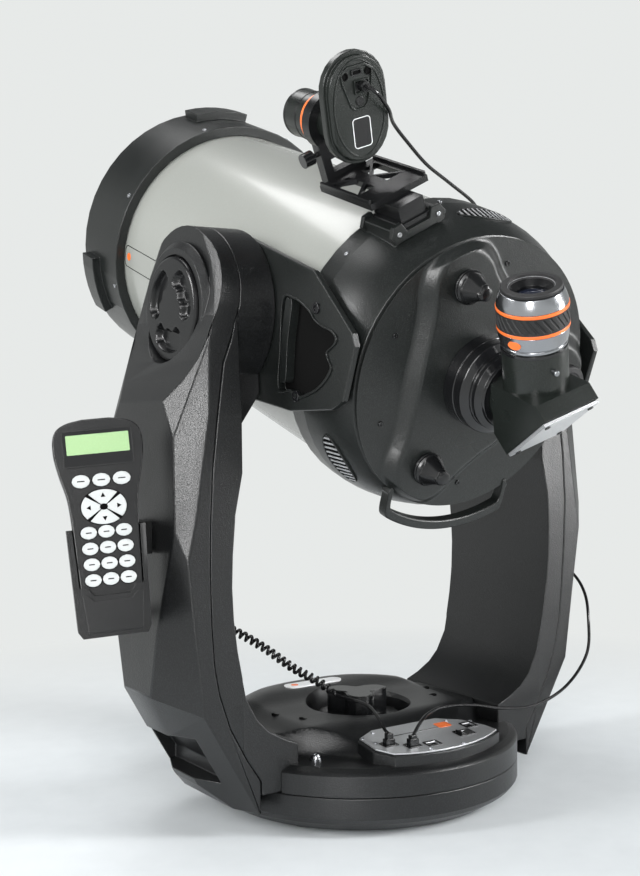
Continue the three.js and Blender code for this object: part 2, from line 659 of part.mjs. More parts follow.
function finderCamera() {
  const front = solid(prismY(capsule(33, 50, 12), -106, -98.5));
  const back = solid(prismY(capsule(29.5, 46, 12), -111, -105.9));
  const shell = joined(front, back).translate([CASE_CENTRE[0], 0, CASE_CENTRE[1]]);
  const neck = solid(turnedY(rodProfile(18, -98.6, -47.4), 32));
  const profile = [[0, -47.5], [21.5, -47.5], [22.5, -46], [22.5, -11], [21, -8], [0, -8]];
  const barrel = solid(turnedY(profile, 36));
  const hood = solid(turnedY(rodProfile(18.5, -18, -5), 32));
  const lens = joined(neck, barrel).subtract(hood).translate([CAMERA_X, 0, CAMERA_UP]);
  return place(cut(joined(shell, lens), portBox(GAP, -112, -104)), FINDER_ROLL);
}

function cameraPlug() {
  const [x, z] = CAMERA_PORT;
  const grip = solid(turnedY(rodProfile(4.5, -119, -111 - GAP), 16).translate(x, 0, z));
  return place(joined(grip, portBox(0, -111.5, -104.5)), FINDER_ROLL);
}

function finderClampScrew() {
  const head = solid(turnedX(rodProfile(7, -36, -25), 20));
  const shank = solid(turnedX(rodProfile(2.4, -25.1, -10), 16));
  return place(joined(head, shank).translate([0, -56, CLAMP_UP]), FINDER_ROLL);
}

// ---------------------------------------------------------------- hand controller

// Half outline of the hand controller from the foot up: half width and height.
const HAND_SIDE = [
  [19, -82], [25, -76], [27, -56], [29, 0], [31, 34], [37.5, 58], [40, 74], [39.5, 88], [36, 96],
  [28, 101.5], [14, 105],
];

function handOutline(grow) {
  const right = HAND_SIDE.map(([x, y]) => [x + grow, y + (y < -75 ? -grow : 0)]);
  return [...right, ...right.map(([x, y]) => [-x, y]).reverse()];
}

const KEY_TRAVEL = 1.5;
const KEY_ROWS = [4, -10, -24, -38];
const KEY_COLUMNS = [-15.5, 0, 15.5];
const PAD_Y = 26;

function ovalKey(x, y, rx, ry, grow) {
  return arc(0, 0, 1, 0, 330, 11).map(([u, v]) => [x + u * (rx + grow), y + v * (ry + grow)]);
}

// A quarter of the direction pad ring, its middle at the given angle.
function padKey(angle, grow) {
  const half = 40 + grow * 4;
  const outer = arc(0, 0, 1, angle - half, angle + half, 8);
  const inner = arc(0, 0, 1, angle + half, angle - half, 5);
  const stretch = ([u, v], rx, ry) => [u * rx, PAD_Y + v * ry];
  return [
    ...outer.map((p) => stretch(p, 20 + grow, 15.5 + grow)),
    ...inner.map((p) => stretch(p, 3.6 - grow, 2.8 - grow)),
  ];
}

// All the keys: name, outline builder.
function keyList() {
  const keys = [];
  [-18, 0, 18].forEach((x, i) => keys.push([`key_top_${i + 1}`, (g) => ovalKey(x, 50, 8, 6, g)]));
  ["right", "up", "left", "down"].forEach((n, i) => keys.push([`key_pad_${n}`, (g) => padKey(90 * i, g)]));
  KEY_ROWS.forEach((y, r) => KEY_COLUMNS.forEach((x, c) => {
    keys.push([`key_row${r + 1}_${c + 1}`, (g) => ovalKey(x, y, 7.3, 5.7, g)]);
  }));
  return keys;
}

function handController() {
  const body = solid(prismZ(handOutline(0), -HAND_THICK, 0));
  const wells = keyList().map(([, outline]) => solid(prismZ(outline(0.35), -4, 5)));
  return onHand(cut(body, ...wells));
}

function controllerKey(outline) {
  return onHand(solid(prismZ(outline(0), -4 + KEY_TRAVEL + 0.2, 2.2)));
}

// Open-topped cradle clipped to the near arm.
function handsetCradle() {
  const clear = 0.8;
  const wall = [[-29, -88], [28, -88], [31, -82], [35, 8], [-35, 8], [-33, -82]];
  const outer = solid(prismZ(wall, -HAND_THICK - 5, 5));
  const room = solid(prismZ(handOutline(clear), -HAND_THICK - clear, clear));
  const face = solid(prismZ([[-20, 20], [-20, -46], [-16, -52], [16, -52], [20, -46], [20, 20]], -2, 12));
  const body = cut(outer, room, face, solid(box(-50, 50, -44, 30, 0.5, 12)));
  const cordSlot = solid(box(-8, 8, -80, -62, -40, -28));
  const held = onHand(cut(body, cordSlot));
  const stem = solid(box(-292, -257.4, -36, -4, 272, 302));
  return held.add(stem.subtract(onHand(room)));
}

// ---------------------------------------------------------------- cords

// Coiled handset lead, as the solid its outside sweeps, then the plain lead to its port.
const HANDSET_CORD = [
  [-291.2, -26, 218], [-284, -6, 214], [-275, 36, 206], [-263, 76, 200], [-236, 97, 194],
  [-196, 97, 188], [-155, 80, 184], [-128, 56, 176], [-95, 40, 155], [-70, 20, 133],
  [-53, -2, 120], [-38.5, -18.5, 106.1],
];
const HANDSET_LEAD = [
  [-37.2, -19.8, 104.8], [-33, -33, 104.3], [-34, -64, 104], [-44, -96, 99], [-50, -113, 93],
  [-50, -120, 89.5],
];

// Camera lead from the plug, over the rear cell and round to a clip on the tube, in the tube frame.
const CAMERA_CABLE_UPPER = [
  [-123, -119.5, 237.1], [-121.5, -125, 236.4], [-114, -127, 232.5], [-106, -123.5, 228],
  [-92, -117, 219.7], [-71.4, -99.5, 207.5], [-44.2, -90.3, 191.6], [-12.7, -85.1, 173.1],
  [21.9, -80.9, 158.2], [61.3, -78, 140], [88, -58, 122], [103, -25, 108], [110, 18, 100],
];

// The same lead from the head of the far arm down its outside to the panel, in the mount's frame.
const CAMERA_CABLE_LOWER = [
  [210, 52, 545], [213, 57, 505], [222, 58, 470], [238, 56, 440], [252, 52, 412], [258, 47, 380],
  [258, 45, 335], [261, 40, 290], [268, 8, 243], [268, -46, 213], [262, -74, 192],
  [250, -92, 164], [245, -94, 127], [214, -94, 96], [169, -93, 81], [122, -92, 84], [83, -92, 93],
  [41, -94, 98], [14, -101, 96], [-10, -118, 94], [-31, -133, 87.5],
];

// ---------------------------------------------------------------- assembly

add("base_lower_housing", baseLowerHousing(), BLACK_PAINT);
add("azimuth_gear", azimuthGear(), STEEL);
add("base_upper_housing", baseUpperHousing(), BLACK_PAINT);
add("control_panel_plate", panelPlate(), SILVER);
add("bubble_level", bubbleLevel(), CHROME);
add("power_switch", powerSwitch(), BLACK_PLASTIC);
add("azimuth_clutch_knob", azimuthClutchKnob(), BLACK_PLASTIC);
add("azimuth_motor", azimuthMotor(), STEEL);
add("fork_arm_left_inner", forkArmInner(-1), BLACK_PAINT);
add("fork_arm_left_cover", forkArmCover(-1, true), BLACK_PAINT);
add("fork_arm_right_inner", forkArmInner(1), BLACK_PAINT);
add("fork_arm_right_cover", forkArmCover(1, false), BLACK_PAINT);
add("altitude_clutch_knob", altitudeClutchKnob(), BLACK_PLASTIC);
add("side_plate_left", place(sidePlate(-1)), CELL_PAINT);
add("side_plate_right", place(sidePlate(1)), CELL_PAINT);
add("ota_tube", otaTube(), WHITE_PAINT);
add("front_ring", frontRing(), CELL_PAINT);
add("corrector_plate", correctorPlate(), GLASS);
add("secondary_mirror", secondaryMirror(), BLACK_PLASTIC);
add("primary_mirror", primaryMirror(), MIRROR);
add("mirror_baffle", mirrorBaffle(), ANODISED);
add("rear_cell", rearCell(), CELL_PAINT);
add("rear_handle", rearHandle(), CELL_PAINT);
add("focus_knob", focusKnob(), RUBBER);
add("mirror_lock_knob_a", mirrorLockKnob(0), BLACK_PLASTIC);
add("mirror_lock_knob_b", mirrorLockKnob(1), BLACK_PLASTIC);
add("visual_back", visualBack(), ANODISED);
add("diagonal_body", diagonalBody(), ANODISED);
add("diagonal_plate", diagonalPlate(), SILVER);
add("eyepiece_body", eyepieceBody(), CHROME);
add("eyecup", eyecup(), RUBBER);
add("finder_bracket", finderBracket(), BLACK_PLASTIC);
add("finder_camera", finderCamera(), BLACK_PLASTIC);
add("finder_clamp_screw", finderClampScrew(), STEEL);
add("camera_plug", cameraPlug(), BLACK_PLASTIC);
add("handset_cradle", handsetCradle(), BLACK_PLASTIC);
add("hand_controller", handController(), BLACK_PLASTIC);
for (const [name, outline] of keyList()) add(name, controllerKey(outline), KEYS);
add("handset_cord_coil", solid(hose(HANDSET_CORD, 5.2, 8, 40)), CORD);
add("handset_cord_lead", solid(hose(HANDSET_LEAD, 1.8, 8, 14)), CORD);
add("camera_cable_upper", place(solid(hose(CAMERA_CABLE_UPPER, 1.8, 8, 34))), CORD);
add("camera_cable_lower", solid(hose(CAMERA_CABLE_LOWER, 1.8, 8, 46)), CORD);

export default telescope;
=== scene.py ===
"""Schmidt-Cassegrain telescope on a fork mount: cords, finishes, fine detail, floor, light and camera.

Lengths are in millimetres, and placed() turns them into metres. The main local frames are:
TUBE    x across, y along the optical tube towards its front, z up from its axis
FINDER  TUBE turned round its own axis to the finder's shoe
ELBOW   TUBE turned round its own axis to the eyepiece
HAND    x across the hand controller, y up its face, z out of its face
PANEL   the mount's own x and y, with z out of the sloping control panel
"""

import json
from math import atan2, cos, degrees, exp, hypot, log, radians, sin, tau

import bmesh
import bpy
from mathutils import Matrix, Vector


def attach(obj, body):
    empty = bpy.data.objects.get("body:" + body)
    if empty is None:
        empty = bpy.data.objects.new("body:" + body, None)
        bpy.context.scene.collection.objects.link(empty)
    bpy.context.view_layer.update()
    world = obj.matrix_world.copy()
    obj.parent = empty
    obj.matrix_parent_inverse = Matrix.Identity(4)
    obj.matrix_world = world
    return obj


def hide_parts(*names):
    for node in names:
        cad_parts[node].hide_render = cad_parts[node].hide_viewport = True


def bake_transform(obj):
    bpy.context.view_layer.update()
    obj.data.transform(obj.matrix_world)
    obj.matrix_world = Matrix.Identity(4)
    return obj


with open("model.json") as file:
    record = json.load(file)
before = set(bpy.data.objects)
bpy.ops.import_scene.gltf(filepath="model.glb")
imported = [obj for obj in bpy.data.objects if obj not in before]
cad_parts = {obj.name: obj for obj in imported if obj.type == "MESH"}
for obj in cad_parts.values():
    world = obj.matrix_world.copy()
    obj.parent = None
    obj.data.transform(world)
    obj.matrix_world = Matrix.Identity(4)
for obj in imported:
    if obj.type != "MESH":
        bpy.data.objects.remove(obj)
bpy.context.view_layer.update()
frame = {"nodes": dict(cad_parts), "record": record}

MM = 0.001


def moved(x, y, z):
    return Matrix.Translation((x, y, z))


def spun(turn, axis):
    """A turn in degrees about a local axis."""
    return Matrix.Rotation(radians(turn), 4, axis)


TILT = 19.5
AXIS_HEIGHT = 500
TUBE = moved(0, 0, AXIS_HEIGHT) @ spun(TILT, "X")
FINDER = TUBE @ spun(-30, "Y")
ELBOW = TUBE @ spun(-20.7, "Y")
HAND = moved(-309.7, -51.6, 293.5) @ spun(-22, "Z") @ spun(84, "X") @ spun(4.5, "Z")
MOUNT = Matrix.Identity(4)
Z_TO_Y = spun(-90, "X")
Z_TO_X = spun(90, "Y")

# ---------------------------------------------------------------- camera

CAMERA_PLACE = Vector((-0.7842, -1.0907, 0.4158))
CAMERA_TARGET = Vector((-0.0453, 0.0, 0.372))
CAMERA_LENS = 52.34
CAMERA_ROLL = -0.01


def make_camera():
    """The camera, aimed at the middle of the telescope and turned a little about its own line."""
    data = bpy.data.cameras.new("camera")
    data.lens = CAMERA_LENS
    data.sensor_width = 36
    camera = bpy.data.objects.new("camera", data)
    bpy.context.scene.collection.objects.link(camera)
    turn = (CAMERA_TARGET - CAMERA_PLACE).to_track_quat("-Z", "Y").to_matrix().to_4x4()
    camera.matrix_world = (
        Matrix.Translation(CAMERA_PLACE) @ turn @ Matrix.Rotation(CAMERA_ROLL, 4, "Z")
    )
    bpy.context.scene.camera = camera


make_camera()

# ---------------------------------------------------------------- materials

MATERIALS = {}


def link_noise(tree, scale, detail):
    """A noise in the object's own coordinates, in cycles per metre."""
    place = tree.nodes.new("ShaderNodeTexCoord")
    noise = tree.nodes.new("ShaderNodeTexNoise")
    noise.inputs["Scale"].default_value = scale
    noise.inputs["Detail"].default_value = detail
    tree.links.new(place.outputs["Object"], noise.inputs["Vector"])
    return noise.outputs["Fac"]


def spread(tree, source, low, high, out_low, out_high):
    """Maps a value from one range to another."""
    node = tree.nodes.new("ShaderNodeMapRange")
    tree.links.new(source, node.inputs["Value"])
    for name, value in zip(("From Min", "From Max", "To Min", "To Max"), (low, high, out_low, out_high)):
        node.inputs[name].default_value = value
    return node.outputs["Result"]


def mixed(tree, factor, first, second):
    """A colour between two, by a factor."""
    mix = tree.nodes.new("ShaderNodeMix")
    mix.data_type = "RGBA"
    mix.inputs["A"].default_value = (*first, 1)
    mix.inputs["B"].default_value = (*second, 1)
    tree.links.new(factor, mix.inputs["Factor"])
    return mix.outputs["Result"]


def finish(name, colour, rough, grain=0.15, size=0.9, fleck=1.25, patch=0.12, **sockets):
    """A surface with fine grain of the given size in mm, flecks of a lighter shade and uneven sheen."""
    made = bpy.data.materials.new(name)
    made.use_nodes = True
    tree = made.node_tree
    shader = tree.nodes["Principled BSDF"]
    fine = link_noise(tree, 1 / (size * MM), 3)
    broad = link_noise(tree, 14, 2)
    flecks = [min(1, c * fleck) for c in colour]
    paint = mixed(tree, spread(tree, fine, 0.45, 0.7, 0, 1), colour, flecks)
    tree.links.new(paint, shader.inputs["Base Color"])
    sheen = spread(tree, broad, 0.3, 0.7, rough * (1 - patch), rough * (1 + patch))
    tree.links.new(sheen, shader.inputs["Roughness"])
    bump = tree.nodes.new("ShaderNodeBump")
    bump.inputs["Strength"].default_value = grain
    bump.inputs["Distance"].default_value = size * MM * 0.35
    tree.links.new(fine, bump.inputs["Height"])
    tree.links.new(bump.outputs["Normal"], shader.inputs["Normal"])
    for socket, value in sockets.items():
        shader.inputs[socket.replace("_", " ")].default_value = value
    MATERIALS[name] = made


def make_materials():
    finish("mount_paint", (0.0048, 0.0051, 0.0054), 0.32, grain=0.6, size=1.3, fleck=3.0)
    finish("cell_paint", (0.0062, 0.0072, 0.0069), 0.31, grain=0.45, size=1.2, fleck=2.8)
    finish("tube_paint", (0.295, 0.305, 0.284), 0.26, grain=0.03, size=2, fleck=1.03, patch=0.03,
           Coat_Weight=0.4, Coat_Roughness=0.12)
    finish("black_plastic", (0.005, 0.0052, 0.0056), 0.24, grain=0.15, size=0.8, fleck=2.0)
    finish("case_plastic", (0.008, 0.010, 0.0088), 0.26, grain=0.08, size=0.8, fleck=2.0)
    finish("soft_rubber", (0.008, 0.008, 0.0085), 0.55, grain=0.3, size=0.6, fleck=2.0)
    finish("key_rubber", (0.52, 0.54, 0.54), 0.5, grain=0.05, size=0.7, fleck=1.04)
    finish("anodised", (0.006, 0.0062, 0.007), 0.16, grain=0.05, size=0.5, fleck=1.5, Coat_Weight=0.3)
    finish("silver_plate", (0.55, 0.56, 0.575), 0.36, grain=0.15, size=0.8, fleck=1.2, Metallic=0.75)
    finish("chrome_trim", (0.36, 0.37, 0.39), 0.2, grain=0.01, size=3, fleck=1.02, Metallic=1)
    finish("steel", (0.45, 0.46, 0.48), 0.28, grain=0.08, size=0.7, fleck=1.2, Metallic=1)
    finish("mirror_coating", (0.88, 0.89, 0.91), 0.04, grain=0.005, size=4, fleck=1.01, Metallic=1)
    finish("cord_jacket", (0.005, 0.005, 0.0055), 0.24, grain=0.05, size=0.6, fleck=1.3)
    finish("orange_ring", (0.80, 0.16, 0.03), 0.32, grain=0.05, size=0.6, fleck=1.1)
    finish("label_white", (0.78, 0.79, 0.80), 0.4, grain=0.03, size=0.8, fleck=1.04)
    # Near-black and barely reflecting: painted shade in vents, sockets, the grips' hollows and round the
    # keys, and the print of the pad keys' arrows.
    finish("shade_and_print_black", (0.002, 0.002, 0.002), 0.8, grain=0.1, size=0.8, fleck=1.2, Specular_IOR_Level=0.1)
    finish("screen", (0.34, 0.52, 0.26), 0.22, grain=0.03, size=0.9, fleck=1.08, Coat_Weight=0.6)
    finish("lens_dark", (0.010, 0.014, 0.030), 0.05, grain=0.0, size=3, fleck=1.2, Coat_Weight=1)
    finish("optical_glass", (0.80, 0.90, 0.88), 0.03, grain=0.0, size=5, fleck=1.02,
           Transmission_Weight=1, IOR=1.12)


make_materials()

# ---------------------------------------------------------------- making pieces

BODY_OF = {n: b for b, nodes in frame["record"]["behaviour"]["bodies"].items() for n in nodes}
SLOT_OF = {s["node"]: s["material_slot"] for s in frame["record"]["subparts"]}
SHARP = radians(22)
# Faces under this area in square metres take only a share of a graded bevel, so that it can't fold.
SMALL_FACE = 3e-4
SMALL_SHARE = 0.25
# A node whose edges are rounded by more than this, in mm, has its bevel graded.
GRADED_FROM = 1.4


def placed(matrix, point):
    """A local point in mm as a place in the scene, in metres."""
    return (matrix @ Vector(point)) * MM


def ramp(value):
    """A smooth step: 0 up to 0, 1 from 1 on, and an S-curve between."""
    value = min(1, max(0, value))
    return value * value * (3 - 2 * value)


def grade(bm):
    """Marks the edges between large faces for a full round, and the ones at small faces for less."""
    layer = bm.edges.layers.float.new("bevel_weight_edge")
    for edge in bm.edges:
        if len(edge.link_faces) == 2 and edge.calc_face_angle() > SHARP:
            small = min(face.calc_area() for face in edge.link_faces)
            edge[layer] = 1 if small > SMALL_FACE else SMALL_SHARE


def soften(obj, width, segments=2, graded=False):
    """Rounds every edge sharper than SHARP by width in mm, or by its grade, and shades the rest smooth."""
    for polygon in obj.data.polygons:
        polygon.use_smooth = True
    obj.data.set_sharp_from_angle(angle=SHARP)
    if width:
        bevel = obj.modifiers.new("bevel", "BEVEL")
        bevel.width = width * MM
        bevel.segments = segments
        bevel.limit_method = "WEIGHT" if graded else "ANGLE"
        bevel.angle_limit = SHARP
        bevel.harden_normals = True
        bevel.use_clamp_overlap = not graded


def piece(name, bm, body, look, width=0.4, replaces=(), segments=2, graded=False):
    """A finished piece from a bmesh in metres: closed, softened, painted, and riding on a body."""
    bmesh.ops.recalc_face_normals(bm, faces=bm.faces)
    if graded:
        grade(bm)
    mesh = bpy.data.meshes.new(name)
    bm.to_mesh(mesh)
    bm.free()
    obj = bpy.data.objects.new(name, mesh)
    bpy.context.scene.collection.objects.link(obj)
    mesh.materials.append(MATERIALS[look])
    soften(obj, width, segments, graded)
    if body:
        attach(obj, body)
    if replaces:
        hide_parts(*replaces)
    return obj


def dress(node, width, look=None):
    """A softened copy of a CAD node in its finish, standing for the node."""
    slot = SLOT_OF[node]
    graded = width > GRADED_FROM
    piece(node + "_skin", from_node(node), BODY_OF[node], look or slot, width, (node,),
          3 if graded else 2, graded)


def loose(bm):
    """A bmesh as an object of its own, for cutting."""
    mesh = bpy.data.meshes.new("loose")
    bmesh.ops.recalc_face_normals(bm, faces=bm.faces)
    bm.to_mesh(mesh)
    bm.free()
    obj = bpy.data.objects.new("loose", mesh)
    bpy.context.scene.collection.objects.link(obj)
    return obj


def carved(bm, tool):
    """The first bmesh with the second one's volume taken out."""
    body = loose(bm)
    cutter = loose(tool)
    cut = body.modifiers.new("cut", "BOOLEAN")
    cut.operation = "DIFFERENCE"
    cut.solver = "EXACT"
    cut.object = cutter
    done = body.evaluated_get(bpy.context.evaluated_depsgraph_get())
    out = bmesh.new()
    out.from_mesh(done.to_mesh())
    done.to_mesh_clear()
    bpy.data.objects.remove(body)
    bpy.data.objects.remove(cutter)
    return out


def block(outline, low, high, matrix):
    """A bmesh of an outline in local x and y, drawn out from low to high along z."""
    bm = bmesh.new()
    bottom = [bm.verts.new(placed(matrix, (x, y, low))) for x, y in outline]
    top = [bm.verts.new(placed(matrix, (x, y, high))) for x, y in outline]
    bm.faces.new(bottom)
    bm.faces.new(top)
    for i in range(len(outline)):
        j = (i + 1) % len(outline)
        bm.faces.new([bottom[i], bottom[j], top[j], top[i]])
    return bm


def from_node(node):
    """A welded bmesh of a CAD node where it stands."""
    source = frame["nodes"][node]
    bm = bmesh.new()
    bm.from_mesh(source.data)
    bm.transform(source.matrix_world)
    bmesh.ops.remove_doubles(bm, verts=bm.verts, dist=2e-6)
    bmesh.ops.dissolve_limit(bm, angle_limit=radians(0.3), verts=bm.verts, edges=bm.edges)
    return bm


def ring(bm, matrix, radius, height, steps):
    """Vertices round a local circle, at one height or at a height that depends on x and y."""
    row = []
    for i in range(steps):
        x = radius * cos(tau * i / steps)
        y = radius * sin(tau * i / steps)
        z = height(x, y) if callable(height) else height
        row.append(bm.verts.new(placed(matrix, (x, y, z))))
    return row


def bridge(bm, rows, closed=False):
    """Faces between each ring of vertices and the next, where a ring may be a single point."""
    for low, high in zip(rows, rows[1:] + rows[:1] if closed else rows[1:]):
        steps = max(len(low), len(high))
        for i in range(steps):
            j = (i + 1) % steps
            corners = [low[i % len(low)], low[j % len(low)], high[j % len(high)], high[i % len(high)]]
            corners = list(dict.fromkeys(corners))
            if len(corners) > 2:
                bm.faces.new(corners)


def turned(name, profile, matrix, body, look, width=0.3, steps=72, replaces=(), closed=False):
    """A solid of revolution about local z, from (radius, height) points. Closed joins last to first."""
    bm = bmesh.new()
    rows = [ring(bm, matrix, radius, height, 1 if radius < 1e-6 else steps) for radius, height in profile]
    bridge(bm, rows, closed)
    return piece(name, bm, body, look, width, replaces)


def prism(name, outline, low, high, matrix, body, look, width=0.3, segments=2):
    """An outline in local x and y, drawn out from low to high along z."""
    return piece(name, block(outline, low, high, matrix), body, look, width, segments=segments)


def oval(x, y, rx, ry, steps=32, start=0, sweep=360):
    """Points round an ellipse, or part of one."""
    return [
        (x + rx * cos(radians(start + sweep * i / steps)), y + ry * sin(radians(start + sweep * i / steps)))
        for i in range(steps if sweep == 360 else steps + 1)
    ]


def rounded(x, y, half_x, half_y, radius, steps=6):
    """A rectangle with round corners."""
    points = []
    for quarter, (sx, sy) in enumerate(((1, 1), (-1, 1), (-1, -1), (1, -1))):
        cx = x + sx * (half_x - radius)
        cy = y + sy * (half_y - radius)
        points += oval(cx, cy, radius, radius, steps, 90 * quarter, 90)
    return points


def framed(name, outer, inner, low, high, matrix, body, look, width=0.15, wrap=None):
    """A flat frame between two outlines of as many points, or one wrapped round a cylinder."""
    bm = bmesh.new()
    loops = []
    for outline, z in ((outer, low), (outer, high), (inner, high), (inner, low)):
        loops.append([bm.verts.new(placed(matrix, (x, y, z))) for x, y in outline])
    bridge(bm, loops, closed=True)
    if wrap:
        bent(bm, matrix, wrap)
    return piece(name, bm, body, look, width)


def flat(face, name, outline, low, high, look, width, inner=None):
    """A flat piece on a face, given as a frame, body and slot, or a frame round an inner outline."""
    matrix, body, slot = face
    if inner:
        framed(name, outline, inner, low, high, matrix, body, look, width)
    else:
        prism(name, outline, low, high, matrix, body, look, width)


def socket_screw(name, matrix, x, y, z, radius, body, look="steel", height=1.6):
    """A cap screw whose head stands on the local plane at z, with its socket sunk in."""
    profile = [(0, height * 0.45), (radius * 0.5, height * 0.45), (radius * 0.5, height),
               (radius * 0.9, height), (radius, height * 0.8), (radius, -0.5), (0, -0.5)]
    place = matrix @ moved(x, y, z)
    return turned(name, profile, place, body, look, 0.1, 24)


# ---------------------------------------------------------------- cords


def curve_point(a, b, c, d, t):
    """The point at share t of the way from b to c on a Catmull-Rom curve."""
    return 0.5 * ((2 * b) + (c - a) * t + (2 * a - 5 * b + 4 * c - d) * t * t
                  + (3 * b - a - 3 * c + d) * t ** 3)


def through(points, per_span):
    """A smooth line through the points."""
    ends = [points[0] * 2 - points[1]] + points + [points[-1] * 2 - points[-2]]
    line = []
    for a, b, c, d in zip(ends, ends[1:], ends[2:], ends[3:]):
        line += [curve_point(a, b, c, d, i / per_span) for i in range(per_span)]
    return line + [points[-1]]


def frames_along(line):
    """Two directions across the line at each point, carried along without twist."""
    side = Vector((0.3, 0.5, 0.8))
    found = []
    for i in range(len(line)):
        ahead = (line[min(i + 1, len(line) - 1)] - line[max(i - 1, 0)]).normalized()
        side = (side - ahead * side.dot(ahead)).normalized()
        found.append((side.copy(), ahead.cross(side)))
    return found


def length_of(line):
    return sum((b - a).length for a, b in zip(line, line[1:]))


def even(line, count):
    """The same line with its points evenly spaced."""
    total = length_of(line)
    result = [line[0]]
    walked = 0
    for a, b in zip(line, line[1:]):
        step = (b - a).length
        while step > 0 and walked + step >= total * len(result) / count and len(result) < count:
            result.append(a.lerp(b, (total * len(result) / count - walked) / step))
        walked += step
    return result + [line[-1]]


def jacket(name, line, radius, sides, replaces):
    """A cord's jacket: a closed round tube along a line in metres."""
    bm = bmesh.new()
    rings = []
    for point, (u, v) in zip(line, frames_along(line)):
        rings.append([
            bm.verts.new(point + (u * cos(tau * i / sides) + v * sin(tau * i / sides)) * radius)
            for i in range(sides)
        ])
    bridge(bm, rings)
    bm.faces.new(rings[0])
    bm.faces.new(rings[-1])
    return piece(name, bm, None, "cord_jacket", 0, replaces)


COIL_ROUTE = [
    (-291.2, -26, 218), (-284, -6, 214), (-275, 36, 206), (-263, 76, 200), (-236, 97, 194),
    (-196, 97, 188), (-155, 80, 184), (-128, 56, 176), (-95, 40, 155), (-70, 20, 133),
    (-53, -2, 120), (-38.5, -18.5, 106.1),
]
LEAD_ROUTE = [
    (-37.2, -19.8, 104.8), (-33, -33, 104.3), (-34, -64, 104), (-44, -96, 99), (-50, -113, 93),
    (-50, -120, 89.5),
]
COIL_PITCH = 6.8
COIL_RADIUS = 3.55
COIL_WIRE = 1.65
# The coil grows out of its route's centre over this share of its length at each end.
COIL_LEAD_IN = 1 / 30
JOINT_REACH = 12


def handset_cord():
    """The controller's curly cord: a helix round its route, and a straight lead to the panel."""
    route = even(through([Vector(p) for p in COIL_ROUTE], 24), 1800)
    across = frames_along(route)
    turns = round(length_of(route) / COIL_PITCH)
    line = []
    for i, (point, (u, v)) in enumerate(zip(route, across)):
        share = i / (len(route) - 1)
        swell = ramp(min(share, 1 - share) / COIL_LEAD_IN)
        angle = tau * turns * share
        line.append(point + (u * cos(angle) + v * sin(angle)) * COIL_RADIUS * swell)
    joint = len(line)
    line += even(through([Vector(p) for p in LEAD_ROUTE], 12), 60)
    for _ in range(40):
        for i in range(joint - JOINT_REACH, joint + JOINT_REACH):
            line[i] = (line[i - 1] + 2 * line[i] + line[i + 1]) / 4
    line = [p * MM for p in even(line, 2400)]
    obj = jacket("handset_cord", line, COIL_WIRE * MM, 10, ("handset_cord_coil", "handset_cord_lead"))
    plug = panel_plug("handset_cord_plug", Vector(LEAD_ROUTE[-1]))
    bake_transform(obj)


def panel_plug(name, top):
    """A small moulded plug standing in a panel port, with its boot up to the cord."""
    bm = bmesh.new()
    for half_x, half_y, low, high in ((5.2, 3.4, 76, 85.5), (3.6, 2.8, 85.5, top.z + 1.2)):
        matrix = Matrix.Translation((top.x, top.y, (low + high) / 2)) @ Matrix.Diagonal(
            (2 * half_x, 2 * half_y, high - low, 1))
        bmesh.ops.create_cube(bm, size=1, matrix=Matrix.Scale(MM, 4) @ matrix)
    return piece(name, bm, "fork", "black_plastic", 0.6)


CABLE_ON_TUBE = [
    (-123, -119.5, 237.1), (-121.5, -125, 236.4), (-114, -127, 232.5), (-106, -123.5, 228),
    (-92, -117, 219.7), (-71.4, -99.5, 207.5), (-44.2, -90.3, 191.6), (-12.7, -85.1, 173.1),
    (21.9, -80.9, 158.2), (61.3, -78, 140), (88, -58, 122), (103, -25, 108),
]
CABLE_LOOP = [
    (110, -18.7, 600), (135, -8, 607), (165, 5, 606), (190, 20, 602), (210, 35, 588),
    (212, 46, 566),
]
CABLE_DOWN = [
    (210, 52, 545), (213, 57, 505), (222, 58, 470), (238, 56, 440), (252, 52, 412), (258, 47, 380),
    (258, 45, 335), (261, 40, 290), (268, 8, 243), (268, -46, 213), (262, -74, 192), (250, -92, 164),
    (245, -94, 127), (214, -94, 96), (169, -93, 81), (122, -92, 84), (83, -92, 93), (41, -94, 98),
    (14, -101, 96), (-10, -118, 94), (-31, -133, 87.5),
]
CABLE_RADIUS = 1.7


def camera_cable():
    """The finder camera's cable, over the head of the far arm and round to the panel."""
    points = [TUBE @ Vector(p) for p in CABLE_ON_TUBE]
    points += [Vector(p) for p in CABLE_LOOP + CABLE_DOWN]
    line = [p * MM for p in even(through(points, 10), 420)]
    obj = jacket("camera_cable", line, CABLE_RADIUS * MM, 12, ("camera_cable_upper", "camera_cable_lower"))
    plug = panel_plug("camera_cable_plug", Vector(CABLE_DOWN[-1]))
    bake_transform(obj)


handset_cord()
camera_cable()

# ---------------------------------------------------------------- CAD parts in their finishes

BEHIND = spun(90, "X")
REAR = TUBE @ BEHIND
FINDER_REAR = FINDER @ BEHIND
CASE = FINDER_REAR @ moved(5, 248, 111) @ spun(-9.5, "Z")
EYE = ELBOW @ moved(0, -290, 0)
LEFT_SIDE = spun(-90, "Y")
KNOB = moved(0, 0, AXIS_HEIGHT) @ LEFT_SIDE

